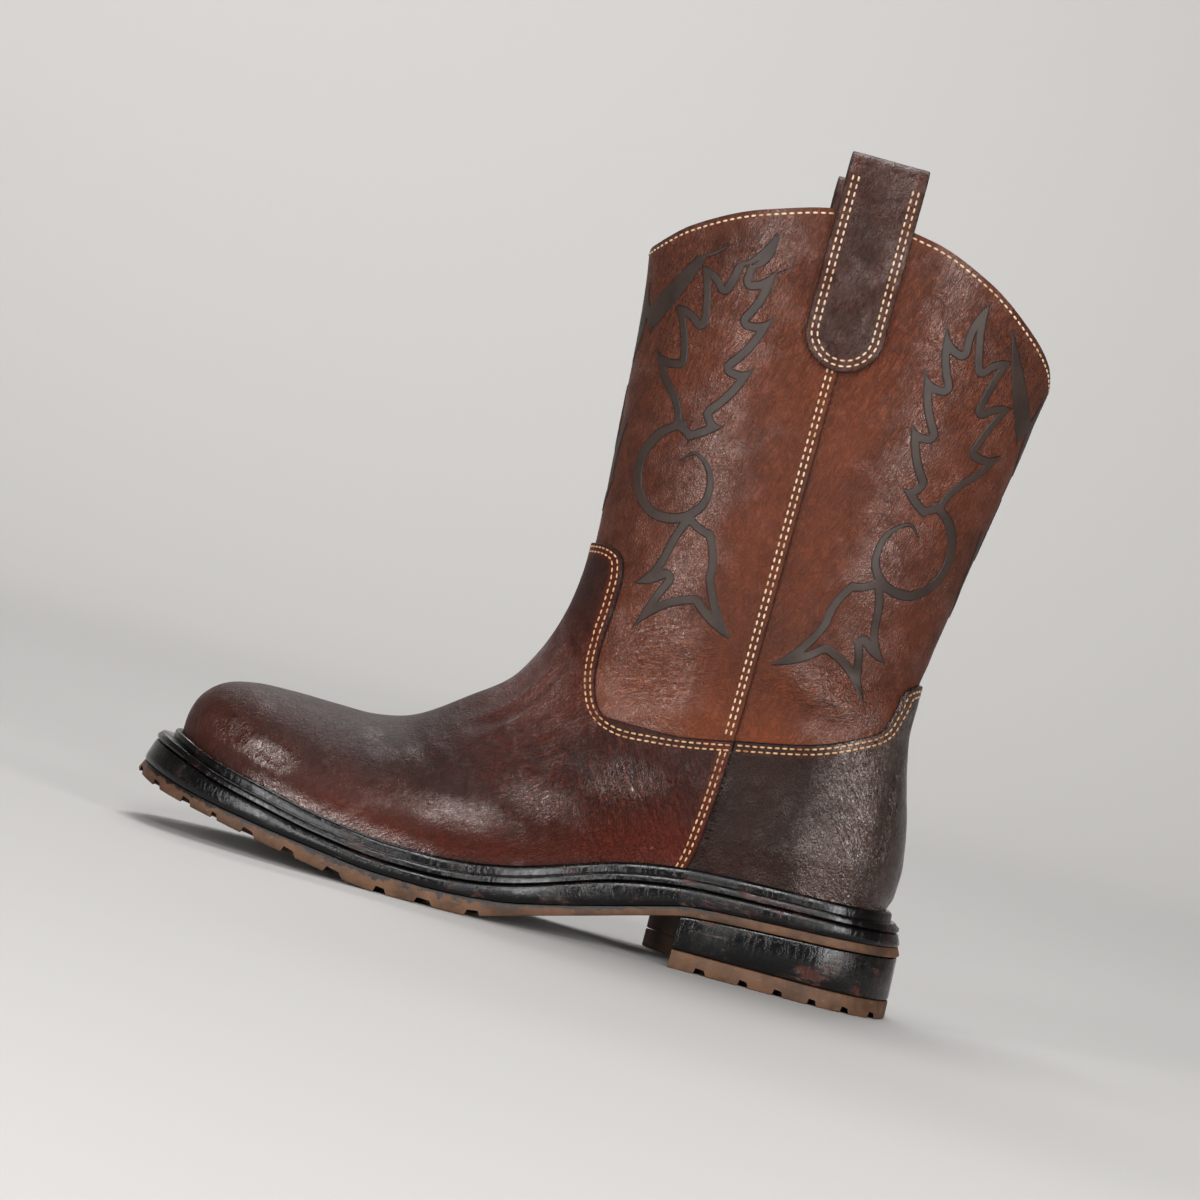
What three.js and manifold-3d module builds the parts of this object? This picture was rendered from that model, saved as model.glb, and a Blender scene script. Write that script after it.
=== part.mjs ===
// A left pull-on western work boot: a leather upper with a vamp, a heel counter and two pull straps,
// on a storm-welted sole with a lugged rubber outsole and a built-up heel.
//
// Millimetres, +Z up, toe towards -X, the outer (lateral) side towards -Y. Every station below is
// measured back from the tip of the sole, and heights are measured from the floor. The finished group
// is shifted so that its origin lies on the floor, under the middle of the heel.
import * as THREE from "three";
import { mergeVertices } from "three/addons/utils/BufferGeometryUtils.js";
import Module from "manifold-3d";

const wasm = await Module();
wasm.setup();

// ---------------------------------------------------------------- driving dimensions

const SOLE_LENGTH = 308;
const HEEL_ORIGIN = 264;
const LATERAL = -1;
const MEDIAL = 1;

const WALL = 2.4; // leather and lining of the upper
const OVERLAY = 1.4; // vamp and heel counter
const GAP = 0.3; // between pieces that touch

const WELT_THICKNESS = 3.6;
const RIB_HEIGHT = 3.8; // storm rib of the welt, above its flat
const RIB_WIDTH = 2.5;
const INSOLE_RISE = 3.2; // top of the insole above the welt

const LIFT_THICKNESS = 7.2;
const LUG_DEPTH = 2.6;

const STRAP_WIDTH = 30.5;
const STRAP_THICKNESS = 2.2;
const STRAP_STATION = 221.8;
const STRAP_TOP = 319.6;
const STRAP_OUTER_END = 236.5;
const STRAP_INNER_END = 262;
const STRAP_LOOP_GAP = 8.4;

const SIDE_POINTS = 24; // along each side of a level line of the upper, and of the sole

// ---------------------------------------------------------------- curves

function hermite(points, tangents, x) {
  const last = points.length - 1;
  if (x <= points[0][0]) return points[0][1];
  if (x >= points[last][0]) return points[last][1];
  let i = 0;
  while (x > points[i + 1][0]) i++;
  const h = points[i + 1][0] - points[i][0];
  const t = (x - points[i][0]) / h;
  const near = (1 + 2 * t) * (1 - t) ** 2 * points[i][1] + t * (1 - t) ** 2 * h * tangents[i];
  const far = t * t * (3 - 2 * t) * points[i + 1][1] + t * t * (t - 1) * h * tangents[i + 1];
  return near + far;
}

// A smooth function through [x, y] points that never overshoots them, so flat stretches stay flat.
function through(points) {
  const slope = (i) => (points[i + 1][1] - points[i][1]) / (points[i + 1][0] - points[i][0]);
  const last = points.length - 1;
  const tangents = points.map((_, i) => {
    if (i === 0) return slope(0);
    if (i === last) return slope(last - 1);
    const [before, after] = [slope(i - 1), slope(i)];
    return before * after <= 0 ? 0 : (2 * before * after) / (before + after);
  });
  return (x) => hermite(points, tangents, x);
}

// A table that turns one rising quantity into another.
function table(pairs) {
  return (x) => {
    let i = 0;
    while (i < pairs.length - 2 && x > pairs[i + 1][0]) i++;
    const [[x0, y0], [x1, y1]] = [pairs[i], pairs[i + 1]];
    return y0 + ((y1 - y0) * (x - x0)) / (x1 - x0);
  };
}

const mix = (a, b, t) => a + (b - a) * t;
const clamp = (x) => Math.min(Math.max(x, 0), 1);
const ease = (t) => clamp(t) ** 2 * (3 - 2 * clamp(t));
// The end of an outline or an arch: 0 at its tip, 1 where it reaches full width.
const rounded = (t, fullness) => (1 - (1 - clamp(t)) ** fullness) ** (1 / fullness);

// ---------------------------------------------------------------- plan of the sole

const SPINE = through([[0, 6], [60, 5], [100, 4.5], [140, 3], [180, 0]]);
const SIDES = {
  [LATERAL]: {
    nose: 100,
    width: through([
      [0, 58], [60, 59], [115, 60.5], [145, 54.5], [175, 43.5], [200, 38.5], [225, 37.5], [265, 37.5],
      [308, 37],
    ]),
  },
  [MEDIAL]: {
    nose: 72,
    width: through([
      [0, 44], [60, 45.5], [90, 46], [120, 41.5], [150, 36], [180, 34], [205, 34.5], [230, 36], [265, 37.5],
      [308, 37],
    ]),
  },
};
const TAIL = 40; // length of the round back of the heel
const PLAN_FULLNESS = 2.2;

// A ring is an outline set in from the sole's: its first and last station, and how far in its sides are.
const ring = (toe, heel, inset) => ({ toe, heel, inset });
const TREAD = ring(0, 307.5, 0);
const OUTSOLE_TOP = ring(1.5, 306.4, 0.2);
const MIDSOLE_TOP = ring(3.8, 305, 0.3);
const WELT_EDGE = ring(5, 303.4, 0.8);
const LEATHER_FOOT = ring(14.7, 296.3, 8.2); // outer face of the upper where it meets the welt

function frontWidth(r, x, side) {
  const { nose, width } = SIDES[side];
  return (width(x) - r.inset) * rounded((x - r.toe) / (nose - r.toe), PLAN_FULLNESS);
}

function ringPoint(r, share, side) {
  const x = mix(r.toe, r.heel, share);
  const tail = rounded((r.heel - x) / (TAIL - (SOLE_LENGTH - r.heel)), PLAN_FULLNESS);
  return [x, SPINE(x) + side * frontWidth(r, x, side) * tail];
}

// Shares of a closed line round the boot, closer together towards its two ends, out along the lateral side
// and back along the medial one.
const AROUND = Array.from({ length: 2 * SIDE_POINTS }, (_, j) => ({
  side: j <= SIDE_POINTS ? LATERAL : MEDIAL,
  share: (1 - Math.cos((Math.PI * Math.min(j, 2 * SIDE_POINTS - j)) / SIDE_POINTS)) / 2,
}));

// ---------------------------------------------------------------- heights along the sole

const treadLine = through([
  [0, 18.1], [11, 14.6], [33, 10.6], [53, 7.2], [78, 3.3], [92, 1.1], [104, 0], [138, 0],
  [148, 2], [165, 6.3], [189, 12.4], [212, 18.4], [222, 20.6], [248, 22.3], [307, 24.6],
]);
const outsoleTop = through([
  [2, 22.6], [22, 17.6], [53, 12.8], [78, 9.8], [102, 7.2], [126, 6.8], [150, 8.2], [165, 10.8],
  [189, 16.3], [212, 22.2], [222, 24.5], [248, 26], [307, 28.4],
]);
const weltTop = through([
  [5, 35.2], [13, 33.1], [32, 27.3], [53, 23], [78, 18.4], [106, 15.5], [121, 15.4], [136, 16.3],
  [150, 18.5], [160, 20.9], [175, 25.4], [189, 29.7], [204, 32.8], [223, 35.1], [248, 36.1], [298, 37.1],
]);

// ---------------------------------------------------------------- form of the upper

const leatherFoot = (x) => weltTop(x) + GAP;

// Side outline of the leather: the front from the toe over the instep to the collar, and the back.
const COLLAR_FRONT = 267.6;
const COLLAR_BACK = 254.6;
const FRONT_OUTLINE = [
  [LEATHER_FOOT.toe, leatherFoot(LEATHER_FOOT.toe)], [14.9, 43], [17.8, 51.5], [24.5, 57.7], [35, 60.7],
  [50, 61.5], [68, 61.2], [85, 61.4], [100, 65.2], [120, 78.8], [134, 89.9], [142.4, 104.5], [148, 121],
  [150.4, 138], [150.2, 154], [147.3, 201], [143.3, 251], [141, COLLAR_FRONT],
];
const BACK_OUTLINE = through([
  [36, 296.3], [41, 296.3], [47, 297.9], [56, 298.3], [65, 297.3], [76, 295.2], [87, 292.2], [99, 289.2],
  [111, 287.4], [123, 287.3], [140, 289.4], [166, 293.2], [206, 299.4], [231, 303.4], [COLLAR_BACK, 307],
  [300, 313],
]);
const COLLAR_LINE = through([
  [141, COLLAR_FRONT], [155, 278.8], [180, 290.3], [215, 298], [245, 294.6], [270, 285.8], [290, 273.5],
  [303, 262.2], [307, COLLAR_BACK],
]);
const PIVOT = { x: 88, z: 150 }; // the middle of the hollow in front of the ankle
const SHAFT_HALF_WIDTH = through([
  [80, 33.5], [105, 35.5], [130, 38.5], [155, 41.2], [200, 44.5], [250, 47], [300, 48],
]);
const HEEL_REACH = through([[41, 28.3], [75, 31], [100, 40], [125, 56], [150, 70], [200, 76], [255, 82]]);
const ARCH_FULLNESS = through([[14, 2.35], [60, 2.25], [88, 2.05], [115, 1.85], [148, 2]]);
const BULGE = 0.06; // how far the wall swells above the welt, as a share of the width
const BULGE_HEIGHT = 16;
const ARCH_TURN = 60; // stations of ARCH_FULLNESS that the turn round the pivot runs through
const LOW_SHAFT = [55, 130]; // heights between which the foot's width eases into the shaft's
const ROUND_BACK = [80, 150]; // heights between which the heel's plan eases into the shaft's oval

const frontCurve = new THREE.CatmullRomCurve3(
  FRONT_OUTLINE.map(([x, z]) => new THREE.Vector3(x, 0, z)), false, "centripetal",
);
const FRONT_LENGTH = frontCurve.getLength();
const FRONT_SAMPLES = 1600;
const PIVOT_OVERLAP = 2; // the tables reach a little past the pivot
const frontSamples = frontCurve.getPoints(FRONT_SAMPLES);
const ridgeHeight = table(
  frontSamples.filter((p) => p.x <= PIVOT.x + PIVOT_OVERLAP).map((p) => [p.x, p.z]),
);
const shaftFront = table(
  frontSamples.filter((p) => p.z >= PIVOT.z - PIVOT_OVERLAP).map((p) => [p.z, p.x]),
);
const ridgeRadius = table(
  frontSamples
    .filter((p) => p.x >= PIVOT.x - PIVOT_OVERLAP && p.z <= PIVOT.z + PIVOT_OVERLAP)
    .map((p) => [Math.atan2(p.x - PIVOT.x, PIVOT.z - p.z), Math.hypot(p.x - PIVOT.x, p.z - PIVOT.z)]),
);

// How deep a point of the side view lies behind the front outline, and the depth at which the arch over
// the foot reaches its full width. Sections stand upright over the foot, turn round the pivot over the
// instep, and lie level up the shaft.
function frontArch(x, z) {
  const uprightReach = (at) => ridgeHeight(at) - leatherFoot(at);
  const levelReach = (at) => (BACK_OUTLINE(at) - shaftFront(at)) / 2;
  if (x < PIVOT.x) return [ridgeHeight(x) - z, uprightReach(x), ARCH_FULLNESS(x)];
  if (z > PIVOT.z) return [x - shaftFront(z), levelReach(z), ARCH_FULLNESS(PIVOT.x + ARCH_TURN)];
  const angle = Math.atan2(x - PIVOT.x, PIVOT.z - z);
  const turn = angle / (Math.PI / 2);
  const depth = Math.hypot(x - PIVOT.x, z - PIVOT.z) - ridgeRadius(angle);
  const reach = mix(uprightReach(PIVOT.x), levelReach(PIVOT.z), turn);
  return [depth, reach, ARCH_FULLNESS(PIVOT.x + ARCH_TURN * turn)];
}

// How far a height has risen from the first to the second of two heights, eased at both.
const risen = (z, [low, high]) => ease((z - low) / (high - low));

// Half width of the leather at a point of the side view, from the spine out.
function leatherWidth(x, z, side) {
  const aboveRib = clamp((z - leatherFoot(x) - RIB_HEIGHT) / BULGE_HEIGHT);
  const swell = 1 + BULGE * ease(aboveRib);
  const foot = frontWidth(LEATHER_FOOT, x, side) * swell;
  const width = mix(foot, SHAFT_HALF_WIDTH(z), risen(z, LOW_SHAFT));
  const [depth, reach, fullness] = frontArch(x, z);
  const backFullness = mix(PLAN_FULLNESS, 2, risen(z, ROUND_BACK));
  const back = rounded((BACK_OUTLINE(z) - x) / HEEL_REACH(z), backFullness);
  return width * rounded(depth / reach, fullness) * back;
}

// Level lines run from the front outline to the back one: stations along the front outline, as lengths
// from the toe, with the height at which each meets the back.
const BACK_HEIGHT = through([
  [0, leatherFoot(LEATHER_FOOT.heel)], [37, 49], [61, 56], [86, 65], [110, 76], [133, 87], [156, 100],
  [184, 120], [205, 140], [FRONT_LENGTH, COLLAR_BACK],
]);
const LEVELS = [
  0, 4.3, 9.5, 16, 23, 30, 38, 49, 61, 73, 85, 97, 109, 121, 133, 145, 158, 172, 188, 207, 229, 255, 286,
  FRONT_LENGTH,
];
const KNEE = { overToe: 0.08, upShaft: 0.5 }; // where a level line bends, as a share of its run
const SOLE_SAG_ENDS = 105; // level lines sag with the sole up to here along the front outline
const COLLAR_RISE_STARTS = 190; // and rise with the collar from here
const CROWN_DROP = through([[0, 0.46], [40, 0.46], [75, 0.36], [125, 0.24]]); // of the height over the sole

const rate = (f, x, step = 0.02) => (f(x + step) - f(x - step)) / (2 * step);
const onSpine = (x, z, out) => ({ at: new THREE.Vector3(x, SPINE(x), z), out: out.normalize() });

// A point of the leather's outer face and the direction it faces, on a level line between front and back.
// A level line leaves the front outline square to it, so it first drops over the side of the foot.
function levelPoint(front, share, side) {
  const along = clamp(front / FRONT_LENGTH);
  const tip = frontCurve.getPointAt(along);
  const uphill = frontCurve.getTangentAt(along);
  const backZ = BACK_HEIGHT(front);
  const backX = BACK_OUTLINE(backZ);
  const kneeShare = mix(KNEE.overToe, KNEE.upShaft, Math.abs(uphill.z));
  const kneeX = mix(tip.x, backX, kneeShare);
  const drop = CROWN_DROP(front) * uphill.x ** 2 * (tip.z - leatherFoot(tip.x));
  const kneeZ = mix(tip.z, backZ, kneeShare) - drop;
  const bend = (start, knee, end) => mix(mix(start, knee, share), mix(knee, end, share), share);
  const x = bend(tip.x, kneeX, backX);
  const chord = (line) => mix(line(tip.x), line(backX), (x - tip.x) / (backX - tip.x));
  const upCollar = clamp((front - COLLAR_RISE_STARTS) / (FRONT_LENGTH - COLLAR_RISE_STARTS));
  const sag = (leatherFoot(x) - chord(leatherFoot)) * (1 - clamp(front / SOLE_SAG_ENDS));
  const rise = (COLLAR_LINE(x) - chord(COLLAR_LINE)) * upCollar ** 1.4;
  const z = bend(tip.z, kneeZ, backZ) + sag + rise;
  if (share === 0) return onSpine(x, z, new THREE.Vector3(-uphill.z, 0, uphill.x));
  if (share === 1) return onSpine(x, z, new THREE.Vector3(1, 0, -rate(BACK_OUTLINE, z)));
  return {
    at: new THREE.Vector3(x, SPINE(x) + side * leatherWidth(x, z, side), z),
    out: new THREE.Vector3(
      -side * rate(SPINE, x) - rate((u) => leatherWidth(u, z, side), x),
      side,
      -rate((u) => leatherWidth(x, u, side), z),
    ).normalize(),
  };
}

// ---------------------------------------------------------------- meshes and solids

function meshGeometry(points, triangles) {
  const geometry = new THREE.BufferGeometry();
  geometry.setAttribute("position", new THREE.Float32BufferAttribute(points.flatMap((p) => [...p]), 3));
  geometry.setIndex(triangles.flat());
  return geometry;
}

function solidFrom(geometry) {
  const bare = geometry.clone();
  bare.deleteAttribute("normal");
  bare.deleteAttribute("uv");
  const merged = mergeVertices(bare, 1e-4);
  return new wasm.Manifold(
    new wasm.Mesh({
      numProp: 3,
      vertProperties: merged.getAttribute("position").array,
      triVerts: new Uint32Array(merged.index.array),
    }),
  );
}

function geometryFrom(solid) {
  const mesh = solid.getMesh();
  const geometry = new THREE.BufferGeometry();
  geometry.setAttribute("position", new THREE.BufferAttribute(mesh.vertProperties, 3));
  geometry.setIndex(new THREE.BufferAttribute(mesh.triVerts, 1));
  return geometry;
}

// The two triangles of each cell between neighbouring closed rows of points.
function band(rowA, rowB, count) {
  return Array.from({ length: count }, (_, j) => {
    const next = (j + 1) % count;
    return [[rowA + j, rowA + next, rowB + next], [rowA + j, rowB + next, rowB + j]];
  }).flat();
}

// A tube of closed rows whose first and last row are joined as well: a hollow form or a ring.
function hoop(rows) {
  const count = rows[0].length;
  const triangles = rows.flatMap((_, k) => band(k * count, ((k + 1) % rows.length) * count, count));
  return meshGeometry(rows.flat(), triangles);
}

// A slab between closed rows, closed across its bottom and its top from side to side.
function slab(rows) {
  const count = rows[0].length;
  const half = count / 2;
  const triangles = rows.slice(1).flatMap((_, k) => band(k * count, (k + 1) * count, count));
  const top = (rows.length - 1) * count;
  for (let j = 0; j < half; j++) {
    const [a, b] = [j, j + 1];
    const [c, d] = [(count - j - 1) % count, (count - j) % count];
    const cells = [[a, b, c], [a, c, d]].filter((t) => new Set(t).size === 3);
    triangles.push(...cells.map((t) => t.toReversed()), ...cells.map((t) => t.map((i) => top + i)));
  }
  return meshGeometry(rows.flat(), triangles);
}

// One row of a piece of the sole: a ring at a height that follows the station.
function soleRow(r, height) {
  return AROUND.map(({ share, side }) => {
    const [x, y] = ringPoint(r, share, side);
    return new THREE.Vector3(x, y, height(x));
  });
}

const raised = (height, by) => (x) => height(x) + by;

// The form of the leather as closed rows, moved out along its own normals.
const formRows = LEVELS.map((front) =>
  AROUND.map(({ share, side }) => levelPoint(front, share, side)),
);

function offsetForm(distance) {
  const moved = (direction, { at }) => at.clone().addScaledVector(direction, distance);
  const level = ({ out }) => out.clone().setZ(0).normalize();
  const foot = formRows[0].map((p) => moved(level(p), p)).map((p) => p.setZ(leatherFoot(p.x)));
  const collar = formRows.at(-1).map((p) => moved(level(p), p));
  return [foot, ...formRows.slice(1, -1).map((row) => row.map((p) => moved(p.out, p))), collar];
}

// The wall between two offsets of the form. Both faces are cut into the same triangles, so pieces that lie
// against each other never cross.
function formWall(inner, outer) {
  const rows = [...offsetForm(outer), ...offsetForm(inner)];
  const count = rows[0].length;
  const levels = formRows.length;
  const row = (k) => k * count;
  const outside = formRows.slice(1).flatMap((_, k) => band(row(k), row(k + 1), count));
  const inside = outside.map((t) => t.map((i) => i + row(levels)).toReversed());
  const rims = [...band(row(levels), 0, count), ...band(row(levels - 1), row(2 * levels - 1), count)];
  return meshGeometry(rows.flat(), [...outside, ...inside, ...rims]);
}

// The foot of the form, moved out by a distance, at a height that follows the station.
function footRow(distance, height) {
  return offsetForm(distance)[0].map(({ x, y }) => new THREE.Vector3(x, y, height(x)));
}

// A prism across the boot with an outline drawn in the side view.
function sidePrism(outline, halfDepth = 80) {
  const shape = new THREE.Shape(outline.map(([x, z]) => new THREE.Vector2(x, z)));
  const geometry = new THREE.ExtrudeGeometry(shape, { depth: 2 * halfDepth, bevelEnabled: false });
  return geometry.rotateX(Math.PI / 2).translate(0, halfDepth, 0);
}

// A prism through the boot from below with an outline drawn in plan.
function planPrism(outline, low, high) {
  const shape = new THREE.Shape(outline.map(([x, y]) => new THREE.Vector2(x, y)));
  return new THREE.ExtrudeGeometry(shape, { depth: high - low, bevelEnabled: false }).translate(0, 0, low);
}

// A rounded line through points, as a list of points.
function smoothOutline(points, pieces) {
  const spline = new THREE.SplineCurve(points.map(([x, z]) => new THREE.Vector2(x, z)));
  return spline.getPoints(pieces).map((p) => [p.x, p.y]);
}

// ---------------------------------------------------------------- the upper and its overlays

const upper = () => formWall(-WALL, 0);

const SIDE_SEAM = [[215.2, 5], [217.2, 40], [220, 58], [222, 76], [222.3, 90.5]];
const VAMP_TOP = 149.6;
const COUNTER_TOP = 131.4;
const VAMP_EDGE = [
  [222.3, 90.5], [205, 87], [190, 85.2], [177, 84.6], [169, 88], [164.6, 98], [163.6, 112], [164.8, 130],
  [164.6, 141], [162, 148], [156, 150.6], [146, VAMP_TOP],
];
const COUNTER_EDGE = [
  [222.3, 90.5], [236, 93.2], [252, 97], [266, 102.6], [276, 108.6], [279, 117], [281.6, 126],
  [292, COUNTER_TOP],
];

// Stations and a height clear of the boot, where the outlines of the overlays close.
const BEFORE_TOE = -20;
const BEHIND_HEEL = 330;
const BELOW_LEATHER = 5;

const overlay = () => solidFrom(formWall(GAP, GAP + OVERLAY));

function vamp() {
  const seam = SIDE_SEAM.map(([x, z]) => [x - GAP / 2, z]);
  const edge = smoothOutline(VAMP_EDGE, 26).slice(1);
  const region = sidePrism([[BEFORE_TOE, BELOW_LEATHER], ...seam, ...edge, [BEFORE_TOE, VAMP_TOP]]);
  return geometryFrom(overlay().intersect(solidFrom(region)));
}

function heelCounter() {
  const seam = SIDE_SEAM.map(([x, z]) => [x + GAP / 2, z]).reverse();
  const edge = smoothOutline(COUNTER_EDGE, 18).slice(1).reverse();
  const region = sidePrism([[BEHIND_HEEL, COUNTER_TOP], ...edge, ...seam, [BEHIND_HEEL, BELOW_LEATHER]]);
  return geometryFrom(overlay().intersect(solidFrom(region)));
}

// ---------------------------------------------------------------- the sole

function welt() {
  const flat = weltTop;
  const underside = raised(weltTop, -WELT_THICKNESS + GAP + 0.1);
  const rib = OVERLAY + 2 * GAP;
  return hoop([
    soleRow(MIDSOLE_TOP, underside),
    soleRow(WELT_EDGE, flat),
    footRow(rib + RIB_WIDTH, flat),
    footRow(rib + RIB_WIDTH, raised(flat, RIB_HEIGHT)),
    footRow(rib, raised(flat, RIB_HEIGHT)),
    footRow(rib, flat),
    footRow(-WALL, flat),
    footRow(-WALL, underside),
  ]);
}

const insole = () =>
  slab([
    footRow(-WALL - GAP, raised(weltTop, -WELT_THICKNESS + GAP)),
    footRow(-WALL - GAP, raised(weltTop, INSOLE_RISE)),
  ]);

const midsole = () =>
  slab([
    soleRow(OUTSOLE_TOP, raised(outsoleTop, GAP)),
    soleRow(MIDSOLE_TOP, raised(weltTop, -WELT_THICKNESS)),
  ]);

// How steeply a line of heights runs, as an angle about Y.
const pitchOf = (surface, x) => -Math.atan2(surface(x + 2) - surface(x - 2), 4);
const NOTCH_TURN = 0.8; // a notch turns most of the way to the run of the edge

// A groove across the edge of a tread, between two lugs: a block turned to the run of the edge.
function notch(r, x, side, surface, size) {
  const share = (x - r.toe) / (r.heel - r.toe);
  const [, y] = ringPoint(r, share, side);
  const [nextX, nextY] = ringPoint(r, share + 0.01, side);
  const box = new THREE.BoxGeometry(size.width, 2 * size.run, 2 * size.depth);
  box.rotateY(pitchOf(surface, x));
  box.rotateZ(Math.atan2(nextY - y, nextX - x) * NOTCH_TURN);
  return solidFrom(box.translate(x, y, surface(x)));
}

const TREAD_NOTCH = { width: 3.8, run: 11, depth: LUG_DEPTH };
const TREAD_NOTCHES = Array.from({ length: 10 }, (_, i) => 11.5 + 14.2 * i);
const CENTRE_GROOVE = { width: 3, run: 54, turn: -0.16 };
const CENTRE_GROOVES = Array.from({ length: 7 }, (_, i) => 33 + 16 * i);
const CHANNEL = { outer: ring(16, 158, 15), inner: ring(19.4, 154.6, 18.4), tail: 34 };
const CLEAR_BELOW = 6; // cutters reach this far below the tread

// The channel that parts the lugs along the edge from those in the middle of the forefoot.
function channel() {
  const row = (r, height) =>
    AROUND.map(({ share, side }) => {
      const x = mix(r.toe, r.heel, share);
      const tail = rounded((r.heel - x) / CHANNEL.tail, 2);
      return new THREE.Vector3(x, SPINE(x) + side * frontWidth(r, x, side) * tail, height(x));
    });
  const low = raised(treadLine, -CLEAR_BELOW);
  const high = raised(treadLine, LUG_DEPTH);
  const { outer, inner } = CHANNEL;
  return solidFrom(hoop([row(outer, low), row(outer, high), row(inner, high), row(inner, low)]));
}

function outsole() {
  const plate = solidFrom(slab([soleRow(TREAD, treadLine), soleRow(OUTSOLE_TOP, outsoleTop)]));
  const cuts = [channel()];
  for (const x of TREAD_NOTCHES)
    for (const side of [LATERAL, MEDIAL]) cuts.push(notch(TREAD, x, side, treadLine, TREAD_NOTCH));
  for (const x of CENTRE_GROOVES) {
    const groove = new THREE.BoxGeometry(CENTRE_GROOVE.width, CENTRE_GROOVE.run, 2 * LUG_DEPTH);
    groove.rotateY(pitchOf(treadLine, x)).rotateZ(CENTRE_GROOVE.turn);
    cuts.push(solidFrom(groove.translate(x, SPINE(x), treadLine(x))));
  }
  return geometryFrom(cuts.reduce((whole, cut) => whole.subtract(cut), plate));
}

// The hollow front of the heel, which reaches further forward on the inner side.
const BREAST = smoothOutline([
  [219.6, -60], [219.8, -34], [225, -14], [225.5, 4], [219, 22], [209.5, 36], [205, 60],
], 14);
const BESIDE_SOLE = 70;
const ABOVE_SOLE = 60;

// Everything in front of the heel's breast.
function frontOfHeel() {
  const [first, last] = [BREAST[0][0], BREAST.at(-1)[0]];
  const outline = [
    [BEFORE_TOE, -BESIDE_SOLE], [first, -BESIDE_SOLE], ...BREAST, [last, BESIDE_SOLE],
    [BEFORE_TOE, BESIDE_SOLE],
  ];
  return solidFrom(planPrism(outline, -CLEAR_BELOW, ABOVE_SOLE));
}

// A layer of the heel between two heights, whose back edge leans from one station to another.
function heelPiece(low, high, backLow, backHigh) {
  const rows = [
    soleRow(ring(0, backLow, 0), () => low),
    soleRow(ring(0, backHigh, 0), (x) => Math.max(high(x), low + 1)),
  ];
  return solidFrom(slab(rows)).subtract(frontOfHeel());
}

const heelBlock = () =>
  geometryFrom(heelPiece(LIFT_THICKNESS + GAP, raised(treadLine, -GAP), 307.6, 306.8));

const LIFT_NOTCH = { width: 3.6, run: 9, depth: LUG_DEPTH };
const LIFT_NOTCHES = Array.from({ length: 5 }, (_, i) => 232 + 14.4 * i);

function heelLift() {
  const floor = () => 0;
  const lift = heelPiece(0, () => LIFT_THICKNESS, SOLE_LENGTH, 307.8);
  const cuts = LIFT_NOTCHES.flatMap((x) =>
    [LATERAL, MEDIAL].map((side) => notch(ring(0, SOLE_LENGTH, 0), x, side, floor, LIFT_NOTCH)),
  );
  return geometryFrom(cuts.reduce((whole, cut) => whole.subtract(cut), lift));
}

// ---------------------------------------------------------------- the pull straps

const FOLD_PIECES = 8;
const END_PIECES = 12;

// A strap runs up the outside of the shaft, folds over above the collar, and comes down inside it.
function pullStrap(side) {
  const faceAt = (z) => Math.abs(SPINE(STRAP_STATION) + side * leatherWidth(STRAP_STATION, z, side));
  const sag = 1.3; // the shaft curves away from the flat strap by this much at its edges
  const heights = [STRAP_OUTER_END, 255, 275, 296];
  const outerFace = heights.map((z) => [faceAt(z) + GAP + STRAP_THICKNESS, z]);
  const outerBack = heights.map((z) => [faceAt(z) + GAP, z]);
  const innerHeights = [296, 280, STRAP_INNER_END];
  const innerFront = innerHeights.map((z) => [faceAt(z) - WALL - GAP - sag, z]);
  const innerFace = innerHeights.map((z) => [faceAt(z) - WALL - GAP - sag - STRAP_THICKNESS, z]);
  const middle = (outerBack[3][0] + innerFront[0][0]) / 2;
  const crown = STRAP_TOP - STRAP_THICKNESS - STRAP_LOOP_GAP / 2;
  const fold = (radius) =>
    Array.from({ length: FOLD_PIECES + 1 }, (_, i) => {
      const angle = (Math.PI * i) / FOLD_PIECES;
      return [middle + radius * Math.cos(angle), crown + radius * Math.sin(angle)];
    });
  const outside = [...outerFace, ...fold(STRAP_LOOP_GAP / 2 + STRAP_THICKNESS), ...innerFace];
  const inside = [...innerFront.reverse(), ...fold(STRAP_LOOP_GAP / 2).reverse(), ...outerBack.reverse()];
  const shape = new THREE.Shape([...outside, ...inside].map(([y, z]) => new THREE.Vector2(side * y, z)));
  const band = new THREE.ExtrudeGeometry(shape, { depth: STRAP_WIDTH, bevelEnabled: false });
  // The profile is drawn across the boot and pushed along it.
  const across = new THREE.Matrix4().makeBasis(
    new THREE.Vector3(0, 1, 0), new THREE.Vector3(0, 0, 1), new THREE.Vector3(1, 0, 0),
  );
  band.applyMatrix4(across).translate(STRAP_STATION - STRAP_WIDTH / 2, 0, 0);
  return geometryFrom(solidFrom(band).intersect(solidFrom(roundEnded())));
}

// The outer end of a strap is round, seen from the side.
function roundEnded() {
  const radius = STRAP_WIDTH / 2;
  const end = Array.from({ length: END_PIECES + 1 }, (_, i) => {
    const angle = Math.PI + (Math.PI * i) / END_PIECES;
    return [STRAP_STATION + radius * Math.cos(angle), STRAP_OUTER_END + radius * (1 + Math.sin(angle))];
  });
  const above = STRAP_TOP + 10;
  return sidePrism([...end, [STRAP_STATION + radius, above], [STRAP_STATION - radius, above]]);
}

// ---------------------------------------------------------------- the boot

const COLOURS = {
  shaftLeather: { color: 0x6b3420, roughness: 0.5 },
  footLeather: { color: 0x47241a, roughness: 0.35 },
  counterLeather: { color: 0x2f1d19, roughness: 0.25 },
  strapLeather: { color: 0x4a2a1f, roughness: 0.45 },
  blackRubber: { color: 0x17130f, roughness: 0.45 },
  gumRubber: { color: 0x5a3b28, roughness: 0.7 },
  insoleLeather: { color: 0x8a6a4a, roughness: 0.7 },
};

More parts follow.
